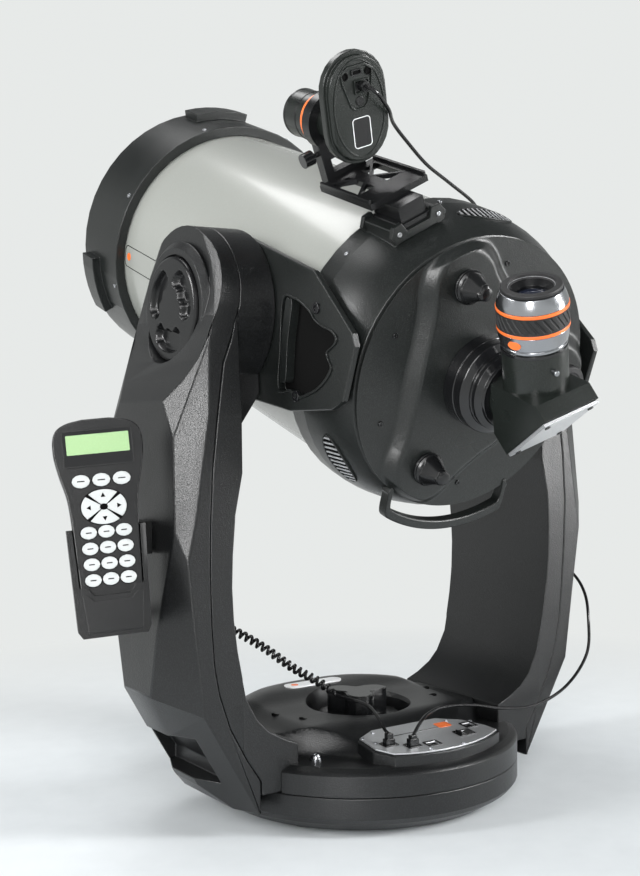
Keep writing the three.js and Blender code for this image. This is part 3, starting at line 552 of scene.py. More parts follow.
BEVELS = {
    "base_lower_housing": 1.6, "fork_arm_left_cover": 1.7, "fork_arm_right_cover": 1.7,
    "fork_arm_left_inner": 1.5, "fork_arm_right_inner": 1.5, "front_ring": 1.0,
    "azimuth_clutch_knob": 1.6, "finder_camera": 1.4, "corrector_plate": 0.2, "camera_plug": 0.5,
    "bubble_level": 0.3, "azimuth_gear": 0.2, "diagonal_body": 0.6, "finder_bracket": 0.6,
    "secondary_mirror": 0.4,
}
LOOKS = {"finder_camera": "case_plastic", "diagonal_body": "case_plastic",
         "finder_clamp_screw": "anodised"}
REBUILT = {
    "ota_tube", "eyepiece_body", "eyecup", "visual_back", "mirror_lock_knob_a", "mirror_lock_knob_b",
    "altitude_clutch_knob", "focus_knob", "rear_handle", "hand_controller", "side_plate_left",
    "side_plate_right", "rear_cell", "base_upper_housing", "handset_cord_coil", "handset_cord_lead",
    "camera_cable_upper", "camera_cable_lower",
}


def dress_all():
    """Dresses every CAD node that isn't rebuilt further on."""
    for node in frame["nodes"]:
        if node not in REBUILT:
            width = 0.5 if node.startswith("key_") else BEVELS.get(node, 0.4)
            dress(node, width, LOOKS.get(node))


dress_all()

# ---------------------------------------------------------------- optical tube


def bent(bm, matrix, radius):
    """Wraps pieces drawn flat on a tangent plane round a cylinder of that radius in mm."""
    back = matrix.inverted()
    for vert in bm.verts:
        local = back @ (vert.co / MM)
        angle = local.x / radius
        reach = radius + local.z
        vert.co = placed(matrix, (reach * sin(angle), local.y, reach * cos(angle) - radius))


def on_tube(turn, station, radius, lean=0):
    """A frame on the tube's surface: x round it, y along it, z out, turned from the top by degrees."""
    return (
        TUBE @ spun(turn, "Y") @ moved(0, station, radius)
        @ spun(lean, "X")
    )


TUBE_RADIUS = 140
VENT_STATION = -163
VENT_RADIUS = 144.2
VENT_LEAN = 14
VENT_RIM = 1.8
SLATS = 11


def optical_tube():
    """The painted tube, its label and the small screws round its front ring."""
    turned("ota_tube_skin", [(138, -124), (TUBE_RADIUS, -124), (TUBE_RADIUS, 296), (138, 296)],
           TUBE @ Z_TO_Y, "optical_tube", "tube_paint", 0.2, 180, ("ota_tube",), closed=True)
    tube_label()
    for turn in (22, 68, 158, 205, 251, 292, 338):
        socket_screw(f"ring_screw_{turn}", on_tube(turn, 279, 151.5), 0, 0, 0, 2.6, "optical_tube",
                     "steel", 1.0)


def tube_label():
    """A blank label on the tube's near side: an outline and a round mark."""
    place = on_tube(-94, 206, TUBE_RADIUS)
    framed("tube_label_line", rounded(0, 0, 12.5, 64, 6), rounded(0, 0, 11.6, 63.1, 5.4), -0.2, 0.25,
           place, "optical_tube", "black_plastic", 0, TUBE_RADIUS)
    prism("tube_label_mark", oval(0, 54, 4.5, 4.5), -0.4, 0.35, place, "optical_tube", "orange_ring",
          0.1)


def slatted_vent(name, turn, half_long, half_wide):
    """An oval vent in the cell's side: a floor of painted shade, pale slats and a rim, wrapped round the
    cell.
    """
    place = on_tube(turn, VENT_STATION, VENT_RADIUS, VENT_LEAN)
    framed(name + "_rim", oval(0, 0, half_long, half_wide, 40),
           oval(0, 0, half_long - VENT_RIM, half_wide - VENT_RIM, 40), -1.5, 1.1, place, "optical_tube",
           "cell_paint", 0.4, VENT_RADIUS)
    # The vent's floor is painted shade.
    vent_shade_floor(name + "_floor", place, half_long - 1.5, half_wide - 1.5)
    for i in range(SLATS):
        x = (half_long - 4) * (2 * i / (SLATS - 1) - 1)
        reach = (half_wide - 2.4) * (1 - (x / half_long) ** 2) ** 0.5
        angle = x / VENT_RADIUS
        spot = (VENT_RADIUS * sin(angle), 0, VENT_RADIUS * (cos(angle) - 1))
        own = place @ Matrix.Translation(spot) @ Matrix.Rotation(angle, 4, "Y")
        prism(f"{name}_slat_{i + 1}", rounded(0, 0, 0.9, reach, 0.7, 3), 0.1, 1.0, own, "optical_tube",
              "silver_plate", 0.2)


def vent_shade_floor(name, place, half_long, half_wide):
    """Painted shade on a vent's floor: a near-black sheet in thin strips so that it can wrap round the cell.
    """
    bm = bmesh.new()
    strips = 24
    columns = []
    for i in range(strips + 1):
        share = 2 * i / strips - 1
        y = half_wide * max(0.02, 1 - share ** 2) ** 0.5
        corners = ((y, 0.25), (-y, 0.25), (-y, -1.2), (y, -1.2))
        columns.append([bm.verts.new(placed(place, (half_long * share, side, z))) for side, z in corners])
    bridge(bm, columns)
    bm.faces.new(columns[0])
    bm.faces.new(columns[-1])
    bent(bm, place, VENT_RADIUS)
    # Painted shade: a near-black sheet inside the vent.
    piece(name, bm, "optical_tube", "shade_and_print_black", 0)


CONE_FOOT = 219.5
CONE_TOP = 236.5
CONE_FLAT = 12.6
CONE_TAPER = 0.36


def lock_knob(name, node, body, x, y):
    """A mirror lock knob: a stepped round foot and a wedge-sided cone with a ball tip."""
    profile = [(0, 196), (5, 196), (5, 212.6), (16, 212.6), (16, 214.6), (15.3, 215.2), (15.3, 215.9),
               (16, 216.4), (15.9, 217.4), (15.2, 218.2), (14.4, 219.2)]
    profile += [(14.2 - 6.4 * i / 6, 220 + 14.6 * i / 6) for i in range(7)]
    profile += [(7.9, 236.2), (7.1, 238), (5.3, 239.4), (2.8, 239.9), (0, 240)]
    place = REAR @ moved(x, y, 0)
    obj = turned(name, profile, place, body, "black_plastic", 0.2, 60, (node,))
    back = place.inverted()
    for vert in obj.data.vertices:
        local = back @ ((obj.matrix_world @ vert.co) / MM)
        if CONE_FOOT < local.z < CONE_TOP:
            for turn in (40, 160, 280):
                way = Vector((cos(radians(turn)), sin(radians(turn)), 0))
                over = local.dot(way) - CONE_FLAT + (local.z - CONE_FOOT) * CONE_TAPER
                if over > 0:
                    local -= way * over
            vert.co = obj.matrix_world.inverted() @ placed(place, local)


def focus_knob():
    """The focuser's rubber knob, with ribs round its side."""
    ribs = 30
    profile = [(0, 168.5), (4.8, 168.5), (4.8, 212.6), (17.5, 212.6), (18.6, 213.4), (18.6, 229),
               (17.6, 230.4), (13, 230.8), (12, 230.2), (0, 230.2)]
    place = REAR @ moved(96, 0, 0)
    turned("focus_knob_skin", profile, place, "focuser", "soft_rubber", 0.4, 90,
           ("focus_knob",))
    for i in range(ribs):
        own = place @ Matrix.Rotation(tau * i / ribs, 4, "Z")
        prism(f"focus_knob_rib_{i + 1}", rounded(18.5, 0, 0.5, 1.0, 0.4, 2), 214.4, 228.4, own, "focuser",
              "soft_rubber", 0.2)


def visual_back():
    """The ringed tube behind the cell that holds the diagonal."""
    profile = [(25.4, 254.6), (31, 254.6), (31.6, 253.4), (32, 252), (37, 248), (37, 244.4), (36.2, 244),
               (36.2, 242.8), (37, 242.4), (37, 240), (43.4, 236.6), (44, 235.8), (44, 227.4),
               (43.2, 226.9), (43.2, 225.6), (44, 225.1), (44, 212.3), (25.4, 212.3)]
    turned("visual_back_skin", profile, REAR, "optical_tube", "anodised", 0.3, 128,
           ("visual_back",), closed=True)


def cell_details():
    """Vents and screws in the cell's side, and screws round its back."""
    slatted_vent("top_vent", 2, 33, 11)
    slatted_vent("low_vent", -132, 33, 12)
    slatted_vent("far_vent", 125, 33, 12)
    for turn in (-9, 24, 60, -52, 150, 178, -165):
        socket_screw(f"cell_screw_{turn + 200}", on_tube(turn, -128, 148), 0, 0, 0, 2.2, "optical_tube",
                     "steel", 0.9)
    for turn in (85, 160, 205, 275, 330):
        x = 108 * cos(radians(turn))
        y = 108 * sin(radians(turn))
        socket_screw(f"cell_back_screw_{turn}", REAR, x, y, 201.2, 2.6, "optical_tube", "black_plastic", 1.2)


LOBE_TURNS = (115, 244, 0)
LOBE_REACH = 96
LOBE_ROOT = 50
LOBE_NARROWING = 19.5
NOTCH_FILL = 16
COVER_LOW = 201.15
COVER_HIGH = 212.15
COVER_UNDER = 200.6
FILLET = 15
RIM_START = 126
RIM_WIDTH = 5
COVER_INNER = 31.3
COVER_OUTER = 131.2


def lobe_distance(x, y):
    """How far a point lies outside the three-lobed plateau, with the notches between lobes filled."""
    total = 0
    for turn in LOBE_TURNS:
        way = Vector((cos(radians(turn)), sin(radians(turn))))
        along = min(1, max(0, (x * way.x + y * way.y) / LOBE_REACH))
        nearest = way * LOBE_REACH * along
        outside = hypot(x - nearest.x, y - nearest.y) - (LOBE_ROOT - LOBE_NARROWING * along)
        total += exp(-outside / NOTCH_FILL)
    return -NOTCH_FILL * log(total)


def cover_height(x, y):
    """The cell's back: a flat plateau that falls through an S-shaped fillet to the rim."""
    fall = ramp(lobe_distance(x, y) / FILLET)
    edge = min(1, max(0, (hypot(x, y) - RIM_START) / RIM_WIDTH))
    return (COVER_HIGH - (COVER_HIGH - COVER_LOW) * fall) * (1 - edge) + COVER_LOW * edge


def cell_back():
    """A skin over the back of the cell, from the bore to the rim."""
    rings = 100
    steps = 300
    bm = bmesh.new()
    rows = [
        ring(bm, REAR, COVER_INNER + (COVER_OUTER - COVER_INNER) * k / rings, cover_height, steps)
        for k in range(rings + 1)
    ]
    rows += [ring(bm, REAR, radius, COVER_UNDER, steps) for radius in (COVER_OUTER, COVER_INNER)]
    bridge(bm, rows, closed=True)
    piece("rear_cell_back", bm, "optical_tube", "cell_paint", 0)


def smooth_loop(points, per_span=6):
    """A smooth closed outline through the points."""
    around = [Vector(p) for p in points]
    count = len(around)
    line = []
    for i in range(count):
        a, b, c, d = (around[(i + k - 1) % count] for k in range(4))
        line += [curve_point(a, b, c, d, k / per_span) for k in range(per_span)]
    return [(p.x, p.y) for p in line]


# The grip's opening on the side plate, up and then rearward from the altitude axis.
GRIP_EDGE = (
    (4, 94), (-40, 88), (-74, 84), (-79, 92), (-78, 104), (-84, 118), (-82, 132), (-78, 146),
    (-70, 160), (-60, 169), (-52, 165), (-46, 163), (-40, 174), (-34, 177), (-28, 170), (-24, 158),
    (-18, 146), (-10, 138), (-2, 126), (4, 112),
)
GRIP_BAR = ((2, 100), (-36, 92), (-68, 89), (-71, 94), (-68, 99), (-34, 103), (0, 111), (5, 106))
GRIP_CENTRE = Vector((-38, -125))
GRIP_FLOOR = -6.4
LIP_GROWTH = 1.055
CELL_BEVEL = 2.0
PLATE_SIDES = 147.4
NEAR_SIDE = moved(-PLATE_SIDES, 0, AXIS_HEIGHT) @ LEFT_SIDE
FAR_SIDE = Matrix.Scale(-1, 4, (1, 0, 0)) @ NEAR_SIDE


def side_plate_grips():
    """The hollow in each side plate with painted shade on its floor, its raised scalloped lip and the
    rounded bar inside it.
    """
    edge = smooth_loop([(up, -back) for up, back in GRIP_EDGE])
    bar = smooth_loop([(up, -back) for up, back in GRIP_BAR])
    lip = [tuple(GRIP_CENTRE + (Vector(p) - GRIP_CENTRE) * LIP_GROWTH) for p in edge]
    cell = from_node("rear_cell")
    for name, node, place in (("near", "side_plate_left", NEAR_SIDE), ("far", "side_plate_right", FAR_SIDE)):
        body = BODY_OF[node]
        plate = carved(from_node(node), block(edge, -20, 1, place))
        cell = carved(cell, block(edge, GRIP_FLOOR - 1, 4, place))
        piece(node + "_skin", plate, body, "cell_paint", CELL_BEVEL, (node,), 3, True)
        # Painted shade: a near-black sheet on the hollow's floor.
        prism(f"grip_shade_{name}", edge, GRIP_FLOOR - 0.8, GRIP_FLOOR, place, body, "shade_and_print_black",
              0)
        framed(f"grip_lip_{name}", lip, edge, GRIP_FLOOR, 1.8, place, body, "cell_paint", 1.2)
        prism(f"grip_bar_{name}", bar, GRIP_FLOOR, 2.8, place, body, "cell_paint", 2.0, 4)
    piece("rear_cell_skin", cell, "optical_tube", "cell_paint", CELL_BEVEL, ("rear_cell",), 3,
          True)


def rear_handle():
    """The lifting handle: a strap with rounded edges that sweeps round under the cell."""
    bm = bmesh.new()
    steps = 72
    section = [(-6.2, -3.4), (-5, -4.6), (5, -4.6), (6.2, -3.4), (6.2, 3.4), (5, 4.6), (-5, 4.6),
               (-6.2, 3.4)]
    rows = []
    for i in range(steps + 1):
        share = 2 * i / steps - 1
        angle = radians(-90 + 33 * share)
        middle = 151 - 20 * ramp((abs(share) - 0.80) / 0.20)
        row = []
        for along, out in section:
            reach = middle + out
            row.append(bm.verts.new(placed(TUBE, (reach * cos(angle), -197 + along, reach * sin(angle)))))
        rows.append(row)
    bridge(bm, rows)
    bm.faces.new(rows[0])
    bm.faces.new(rows[-1])
    piece("rear_handle_skin", bm, "optical_tube", "cell_paint", 0.6, ("rear_handle",))


def side_plate_screws():
    """Two large cap screws in each side plate."""
    for name, y, z in (("upper", -148, 493.8), ("lower", -113.6, 415.6)):
        place = moved(-PLATE_SIDES, y, z) @ LEFT_SIDE
        socket_screw("side_screw_" + name, place, 0, 0, 0, 5.2, "optical_tube", "anodised", 2.4)
        place = moved(PLATE_SIDES, y, z) @ Z_TO_X
        socket_screw("far_side_screw_" + name, place, 0, 0, 0, 5.2, "optical_tube", "steel", 2.4)


KNOB_HOLLOWS = (65, 190, 305)
HOLLOW_RADIUS = 31
HOLLOW_SPREAD = 27
HOLLOW_HALF = 11.4
HOLLOW_DEPTH = 6.8
HOLLOW_WALL = 3.6
KNOB_FACE = 217.4


def knob_height(x, y):
    """The altitude knob's face: a shallow crown with three scalloped finger hollows along its rim."""
    radius = hypot(x, y)
    height = KNOB_FACE + 0.5 * (1 - (radius / 50) ** 2)
    for turn in KNOB_HOLLOWS:
        angle = (degrees(atan2(-y, x)) - turn + 180) % 360 - 180
        along = max(-HOLLOW_SPREAD, min(HOLLOW_SPREAD, angle))
        nearest = radians(turn + along)
        gap = hypot(x - HOLLOW_RADIUS * cos(nearest), -y - HOLLOW_RADIUS * sin(nearest))
        scallop = 1.7 * cos(radians(angle * 7.5)) if radius < HOLLOW_RADIUS else 0
        height -= HOLLOW_DEPTH * ramp((HOLLOW_HALF + scallop - gap) / HOLLOW_WALL)
    return height


def altitude_knob():
    """The altitude clutch knob, from the middle of its face out and down to its stem."""
    rings = 90
    bm = bmesh.new()
    rows = [ring(bm, KNOB, 0, knob_height, 1)]
    outline = [(47.6 * k / rings, knob_height) for k in range(1, rings + 1)]
    outline += [(48.8, 216.9), (49.6, 216.1), (50, 215), (50, 208.4), (9, 208.4), (9, 186)]
    rows += [ring(bm, KNOB, radius, height, 180) for radius, height in outline]
    bridge(bm, rows)
    bm.faces.new(rows[-1])
    piece("altitude_knob_skin", bm, "altitude_clutch", "black_plastic", 0,
          ("altitude_clutch_knob",))


optical_tube()
lock_knob("lock_knob_a", "mirror_lock_knob_a", "lock_a", -40.57, 87.0)
lock_knob("lock_knob_b", "mirror_lock_knob_b", "lock_b", -42.08, -86.29)
focus_knob()
visual_back()
cell_back()
cell_details()
side_plate_screws()
side_plate_grips()
rear_handle()
altitude_knob()

# ---------------------------------------------------------------- diagonal and eyepiece

LOWER_RING = 82
UPPER_RING = 100


def diagonal_details():
    """The diagonal's corner screws, and the eyepiece holder's set screw and rim."""
    for x in (-24, 24):
        for y in (-29, 29):
            place = ELBOW @ moved(0, -308, -12) @ spun(135, "X")
            socket_screw(f"diagonal_screw_{x + 30}_{y + 30}", place, x, y, 3.2, 2.7, "diagonal",
                         "black_plastic", 1.4)
    place = EYE @ spun(262, "Z") @ moved(28.2, 0, 47) @ Z_TO_X
    turned("holder_set_screw", [(0, 0), (2.6, 0), (2.6, 5.4), (2.1, 6.0), (0, 6.0)], place, "diagonal",
           "chrome_trim", 0.2, 28)
    turned("holder_rim", [(26.4, 63.3), (28.9, 63.3), (28.9, 60.6), (28.5, 60.6), (28.5, 62.9)], EYE,
           "diagonal", "anodised", 0.15, 96, closed=True)


def grip_groove(angle, height):
    """How deep the rubber grip is cut at this angle (turns) and height: slanted grooves."""
    wave = (angle * 30 + height * 0.11) % 1
    edge = min(height - LOWER_RING - 3.2, UPPER_RING - 3.0 - height)
    return 0.75 if wave < 0.3 and edge > 0 else 0


def eyepiece():
    """The eyepiece's metal body, coloured rings, grip, lens, mark and eyecup."""
    metal = [(17, 33), (25.3, 33), (25.3, 38), (24.7, 38.8), (24.7, 44), (25.3, 44.8), (25.3, 64.2),
             (28.2, 64.2), (28.6, 64.8), (28.6, 66.6), (28.1, 67), (28.1, 67.5), (29.0, 68.2),
             (29.9, 72.5), (30.6, 80.2), (30.1, 80.5), (30.1, 101.6), (30.7, 101.9), (30.3, 104.3),
             (29.2, 108.2), (27.7, 111.8), (27.0, 113.5), (26.2, 114), (19.8, 114), (19.8, 113.4), (17, 110)]
    turned("eyepiece_metal", metal, EYE, "eyepiece", "chrome_trim", 0.2, 144,
           ("eyepiece_body",), closed=True)
    for name, height in (("lower", LOWER_RING), ("upper", UPPER_RING)):
        band = [(30, height - 1.5), (30.9, height - 1.5), (31.2, height - 1.1), (31.2, height + 1.1),
                (30.9, height + 1.5), (30, height + 1.5)]
        turned(f"eyepiece_{name}_ring", band, EYE, "eyepiece", "orange_ring", 0.1, 144,
               closed=True)
    eyepiece_grip()
    cone = [(20.1, 115.1), (19.5, 115.1), (14.0, 110.2), (14.0, 107), (16.9, 107), (20.1, 113.4)]
    turned("eyepiece_cone", cone, EYE, "eyepiece", "black_plastic", 0.1, 96, closed=True)
    dome = []
    for step in range(60, -1, -6):
        angle = radians(step)
        dome.append((14.1 * sin(angle) / sin(radians(60)), 107.6 + 4.4 * (cos(angle) - 0.5)))
    turned("eyepiece_lens", [(0, 106), (14.1, 106)] + dome, EYE, "eyepiece", "lens_dark",
           0, 64)
    button = EYE @ spun(197, "Z") @ moved(29.3, 0, 73.6) @ Z_TO_X
    prism("eyepiece_mark", oval(0, 0, 3.9, 6.2), -1.2, 1.0, button, "eyepiece", "orange_ring",
          0.3)
    cup = [(20.5, 118), (25.0, 118), (25.7, 117.5), (26.2, 116.4), (26, 114.3), (18.4, 114.3), (18.4, 115),
           (20.2, 116.6)]
    turned("eyecup_skin", cup, EYE, "eyecup_ring", "soft_rubber", 0.2, 120, ("eyecup",),
           closed=True)
    turned("eyecup_line", [(19.4, 115.2), (20.0, 115.2), (20.0, 116.2), (19.4, 116.2)], EYE, "eyecup_ring",
           "silver_plate", 0.1, 96, closed=True)


def eyepiece_grip():
    """The rubber grip between the rings, cut with slanted grooves."""
    steps = 360
    heights = [LOWER_RING + 1.6 + i * 0.74 for i in range(21)]
    bm = bmesh.new()
    rows = []
    for height in heights:
        row = []
        for i in range(steps):
            angle = tau * i / steps
            radius = 31.1 - grip_groove(i / steps, height)
            row.append(bm.verts.new(placed(EYE, (radius * cos(angle), radius * sin(angle), height))))
        rows.append(row)
    rows += [ring(bm, EYE, 30.2, height, steps) for height in (heights[-1], heights[0])]
    bridge(bm, rows, closed=True)
    piece("eyepiece_grip", bm, "eyepiece", "soft_rubber", 0)


diagonal_details()
eyepiece()

# ---------------------------------------------------------------- finder camera

BARREL = FINDER @ moved(3, 0, 228) @ Z_TO_Y
CASE_BACK = (CASE, "optical_tube", "black_plastic")
BRACKET = (FINDER, "optical_tube", "black_plastic")


def finder_details():
    """Rings on the barrel, and the ports, panel and blank label on the case's back."""
    for name, low, high, radius, look in (
        ("orange", -43.8, -40.6, 23.1, "orange_ring"), ("rear", -48.6, -45.6, 22.9, "black_plastic"),
        ("mid", -31, -29, 22.9, "black_plastic"), ("front", -12, -9.4, 22.8, "black_plastic"),
    ):
        band = [(17.5, low), (radius, low), (radius, high), (17.5, high)]
        turned(f"finder_ring_{name}", band, BARREL, "optical_tube", look, 0.3, 96,
               closed=True)
    flat(CASE_BACK, "finder_back_rim", oval(0, 0, 27, 43.5, 64), -0.5, 0.9, "case_plastic", 0.4,
            oval(0, 0, 25.6, 42.1, 64))
    panel = [(-17, 33), (-9, 38.5), (9, 38.5), (17, 33), (16, 24), (9, 2), (5, -1), (-5, -1), (-9, 2),
             (-16, 24)]
    flat(CASE_BACK, "finder_panel_rim", panel, -0.5, 1.5, "case_plastic", 0.5,
            [(x * 0.9, 18 + (y - 18) * 0.9) for x, y in panel])
    socket = [(0, 0.25), (2.7, 0.25), (2.7, 1.3), (3.6, 1.3), (3.6, -0.5), (0, -0.5)]
    # Two sockets drawn in painted shade.
    for x in (-12.5, 12.5):
        turned(f"finder_socket_shade_{int(x) + 20}", socket, CASE @ moved(x, 30.5, 0),
               "optical_tube", "shade_and_print_black", 0.1, 28)
    flat(CASE_BACK, "finder_slot", rounded(0, 32, 5.4, 2.6, 1), -0.5, 1.6, "black_plastic", 0.2,
            rounded(0, 32, 4.2, 1.5, 0.5))
    # Painted shade on the slot's floor.
    flat(CASE_BACK, "finder_slot_shade", rounded(0, 32, 4.6, 1.9, 0.6), -0.5, 0.3, "shade_and_print_black", 0)
    flat(CASE_BACK, "finder_port", rounded(4, 19, 7.8, 6.2, 1), -0.5, 1.8, "case_plastic", 0.3,
            rounded(4, 19, 6.7, 5.0, 0.6))
    flat(CASE_BACK, "finder_button", oval(1, 6.5, 4.2, 4.2), -0.5, 1.0, "black_plastic", 0.5)
    flat(CASE_BACK, "finder_label", rounded(0, -21, 9.5, 13.5, 3.4), -0.5, 0.45, "black_plastic", 0.2)
    flat(CASE_BACK, "finder_label_line", rounded(0, -21, 9.5, 13.5, 3.4), 0.3, 0.75, "label_white", 0.1,
            rounded(0, -21, 8.8, 12.8, 2.7))


# Corners of the bracket's ribs, across the shoe and along the tube, in pairs.
RIBS = (((-24, -66), (4, -94)), ((4, -94), (-24, -120)), ((30, -66), (8, -94)), ((8, -94), (30, -120)))


def bracket_details():
    """Ribs across the deck's windows, raised side rails, and wedge-shaped cheeks on the shoe."""
    for i, (a, b) in enumerate(RIBS):
        ahead = Vector((b[0] - a[0], b[1] - a[1])).normalized() * 1.0
        side = Vector((-ahead.y, ahead.x)) * 1.5
        outline = [(a[0] + side.x, a[1] + side.y), (b[0] + side.x, b[1] + side.y),
                   (b[0] - side.x, b[1] - side.y), (a[0] - side.x, a[1] - side.y)]
        flat(BRACKET, f"bracket_rib_{i + 1}", outline, 173.5, 178.4, "black_plastic", 0.4)
    for name, x in (("near", -27.6), ("far", 33.6)):
        flat(BRACKET, f"bracket_rail_{name}", rounded(x, -104, 1.4, 41, 1.2), 177.5, 181.5,
             "black_plastic", 0.5)
    cheek = [(-27, -4), (-31, 3), (-26, 12), (-17, 13), (-13, 4), (13, 4), (17, 13), (26, 12), (31, 3),
             (27, -4)]
    for name, station in (("rear", -167.6), ("front", -121.4)):
        place = FINDER @ moved(0, station, 147) @ BEHIND
        prism(f"shoe_cheek_{name}", cheek, -2.4, 2.4, place, "optical_tube", "cell_paint", 0.7)
        for x in (-22, 22):
            socket_screw(f"shoe_screw_{name}_{x + 30}", place, x, 4, 2.4, 2.3, "optical_tube", "steel", 1.2)


finder_details()
bracket_details()

# ---------------------------------------------------------------- hand controller

KEY_TOP = 2.2
PAD_CENTRE = 26
PAD_MARKS = {"right": 0, "up": 90, "left": 180, "down": 270}
TOP_KEYS = (-18, 0, 18)
TOP_KEYS_UP = 50
KEY_COLUMNS = (-15.5, 0, 15.5)
KEY_ROWS = (4, -10, -24, -38)
# One side of the case's outline, from its foot up.
HAND_SIDE = (
    (19, -82), (24.6, -76.5), (27, -56), (28.4, -20), (29.2, 4), (31.2, 34), (36.4, 56), (39.6, 74),
    (39.4, 88), (35.5, 97), (26, 102.4), (12, 105),
)
HAND_HALF = 39.8
HAND_TOP = 105
HAND_THICK = 30
HAND_FACE = (HAND, "handset", "black_plastic")


def controller_body():
    """The controller's case, with soft edges and a ring of painted shade round each key."""
    curve = [(p.x, p.y) for p in through([Vector(p) for p in HAND_SIDE], 6)]
    outline = curve + [(-x, y) for x, y in curve[::-1]]
    outline = [(max(-HAND_HALF, min(HAND_HALF, x)), min(y, HAND_TOP)) for x, y in outline]
    body = prism("controller_case", outline, -HAND_THICK, 0, HAND, "handset", "black_plastic",
                 3.2, 5)
    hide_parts("hand_controller")
    key_shades = [(x, TOP_KEYS_UP, 8.6, 6.6) for x in TOP_KEYS]
    key_shades += [(x, y, 7.9, 6.3) for y in KEY_ROWS for x in KEY_COLUMNS]
    key_shades.append((0, PAD_CENTRE, 20.9, 16.4))
    # Painted shade in the gap round each key.
    for i, (x, y, rx, ry) in enumerate(key_shades):
        flat(HAND_FACE, f"key_gap_shade_{i + 1}", oval(x, y, rx, ry, 40), -0.4, 0.12, "shade_and_print_black", 0)


def screen():
    """The display: a bezel, a lit panel and a blank strip under it."""
    flat(HAND_FACE, "screen_bezel", rounded(0, 79, 31.5, 16.5, 2), -0.5, 1.1, "black_plastic", 0.3,
            rounded(0, 79, 30.2, 15.2, 1.2))
    flat(HAND_FACE, "screen_strip", rounded(0, 79, 30.6, 15.6, 1.4), -0.6, 0.35, "anodised", 0.1)
    flat(HAND_FACE, "screen_panel", rounded(0, 82.6, 27.8, 8.8, 0.8), 0, 0.6, "screen", 0.1)
    flat(HAND_FACE, "face_line", rounded(0, 12, 27.4, 42, 5), -0.3, 0.3, "anodised", 0.05,
            rounded(0, 12, 27.0, 41.6, 4.6))
    flat(HAND_FACE, "hand_mark", oval(-9, -66, 2.6, 2.6), -0.3, 0.35, "orange_ring", 0.1)


def key_marks():
    """An arrow on each pad key, and a plain dash on each other key."""
    for name, turn in PAD_MARKS.items():
        x = 13.2 * cos(radians(turn))
        y = PAD_CENTRE + 10.2 * sin(radians(turn))
        place = HAND @ moved(x, y, 0) @ spun(turn, "Z")
        prism(f"arrow_{name}", [(2.4, 0), (-1.6, 2.2), (-1.6, -2.2)], KEY_TOP - 0.3, KEY_TOP + 0.08, place,
              "key_pad_" + name, "shade_and_print_black", 0)
    plain = [(f"key_top_{i + 1}", x, TOP_KEYS_UP, 3.4) for i, x in enumerate(TOP_KEYS)]
    for row, y in enumerate(KEY_ROWS):
        plain += [(f"key_row{row + 1}_{column + 1}", x, y, 2.6) for column, x in enumerate(KEY_COLUMNS)]
    for name, x, y, half in plain:
        prism("dash_" + name, rounded(x, y, half, 0.5, 0.4, 3), KEY_TOP - 0.3, KEY_TOP + 0.06, HAND, name,
              "anodised", 0)


def cradle_lip():
    """The cradle's front lip, level across its top with short sloping ends."""
    outline = [(-22, -50), (-16, -56), (16, -56), (22, -50), (27, -50), (24, -84), (-24, -84), (-27, -50)]
    prism("cradle_lip", outline, 4.6, 6.2, HAND, "fork", "black_plastic", 0.7)


controller_body()
screen()
key_marks()
cradle_lip()

# ---------------------------------------------------------------- base and panel

PANEL_SCREWS = ((-60, -112), (-64, -96), (-20, -147), (18, -150), (66, -104), (44, -92), (-46, -88))
PANEL_BACK = 120
PANEL_HEIGHT = 79.75
PANEL_SLOPE = 5.96
PANEL = moved(0, -PANEL_BACK, PANEL_HEIGHT) @ spun(PANEL_SLOPE, "X") @ moved(0, PANEL_BACK, 0)
PANEL_TOP = (PANEL, "fork", "silver_plate")
HOUSING_TOP = (MOUNT, "fork", "mount_paint")
# The panel's ports: centre across and back, and the half sizes of the hole and of its rim.
PORTS = (
    (-50, -120, (6, 4), (7, 5)), (-31, -133, (6, 4), (7, 5)), (-10, -137, (6, 4), (7, 5)),
    (57, -112, (5, 5), (6.2, 6.2)), (38, -128, (8.3, 5.3), (9.2, 6.2)),
)
BLOCK_FRONT = 69.4
BLOCK_RISE = 0.1044
BLOCK_REACH = 157
HOUSING_REACH = 167
HOUSING_FOOT = 40
LEDGE = 64.4
# The turning housing's height: across the base from back to front, out from its centre, and the
# half width of its hump at each distance back.
HUMP_SIDE = (
    (-160, 60), (-150, 65), (-128, 68), (-98, 74), (-76, 83), (-60, 90), (0, 90), (36, 92), (70, 99),
    (98, 99), (124, 88), (150, 66), (160, 60),
)
HUMP_ROUND = ((0, 101), (95, 101), (118, 94), (136, 84), (152, 66), (160, 61))
HUMP_HALF = ((-150, 50), (-100, 62), (-78, 76), (-60, 98), (-45, 122), (-25, 150), (0, 190))
CREASE = 5
FOOT_TOP = 84.3
FOOT_INNER = 126.7
FOOT_HALF = 79.3
SHOULDER = 4


def between(points, x):
    """Reads a value off a line through the points."""
    if x <= points[0][0]:
        return points[0][1]
    for (x0, y0), (x1, y1) in zip(points, points[1:]):
        if x <= x1:
            return y0 + (y1 - y0) * (x - x0) / (x1 - x0)
    return points[-1][1]


def eased(points, x, reach):
    """The same line with its corners rounded over that reach."""
    return sum(between(points, x + reach * k / 4) for k in range(-4, 5)) / 9


def hump_height(x, y):
    """The housing's top: a hump eased into its ledge, level where the fork's feet stand."""
    side = eased(HUMP_SIDE, y, 9)
    round_about = eased(HUMP_ROUND, hypot(x, y), 6)
    near = max(0, CREASE - abs(side - round_about)) / CREASE
    height = min(side, round_about) - CREASE / 4 * near * near
    at_foot = ramp((abs(x) - 95) / 31) * (1 - ramp((abs(y) - 50) / 30))
    height += (FOOT_TOP - height) * at_foot
    rise = (height - LEDGE) * (1 - ramp((abs(x) - eased(HUMP_HALF, y, 10) + 8) / 22))
    if rise < SHOULDER:
        rise = max(0, rise + SHOULDER) ** 2 / (4 * SHOULDER)
    return LEDGE + rise


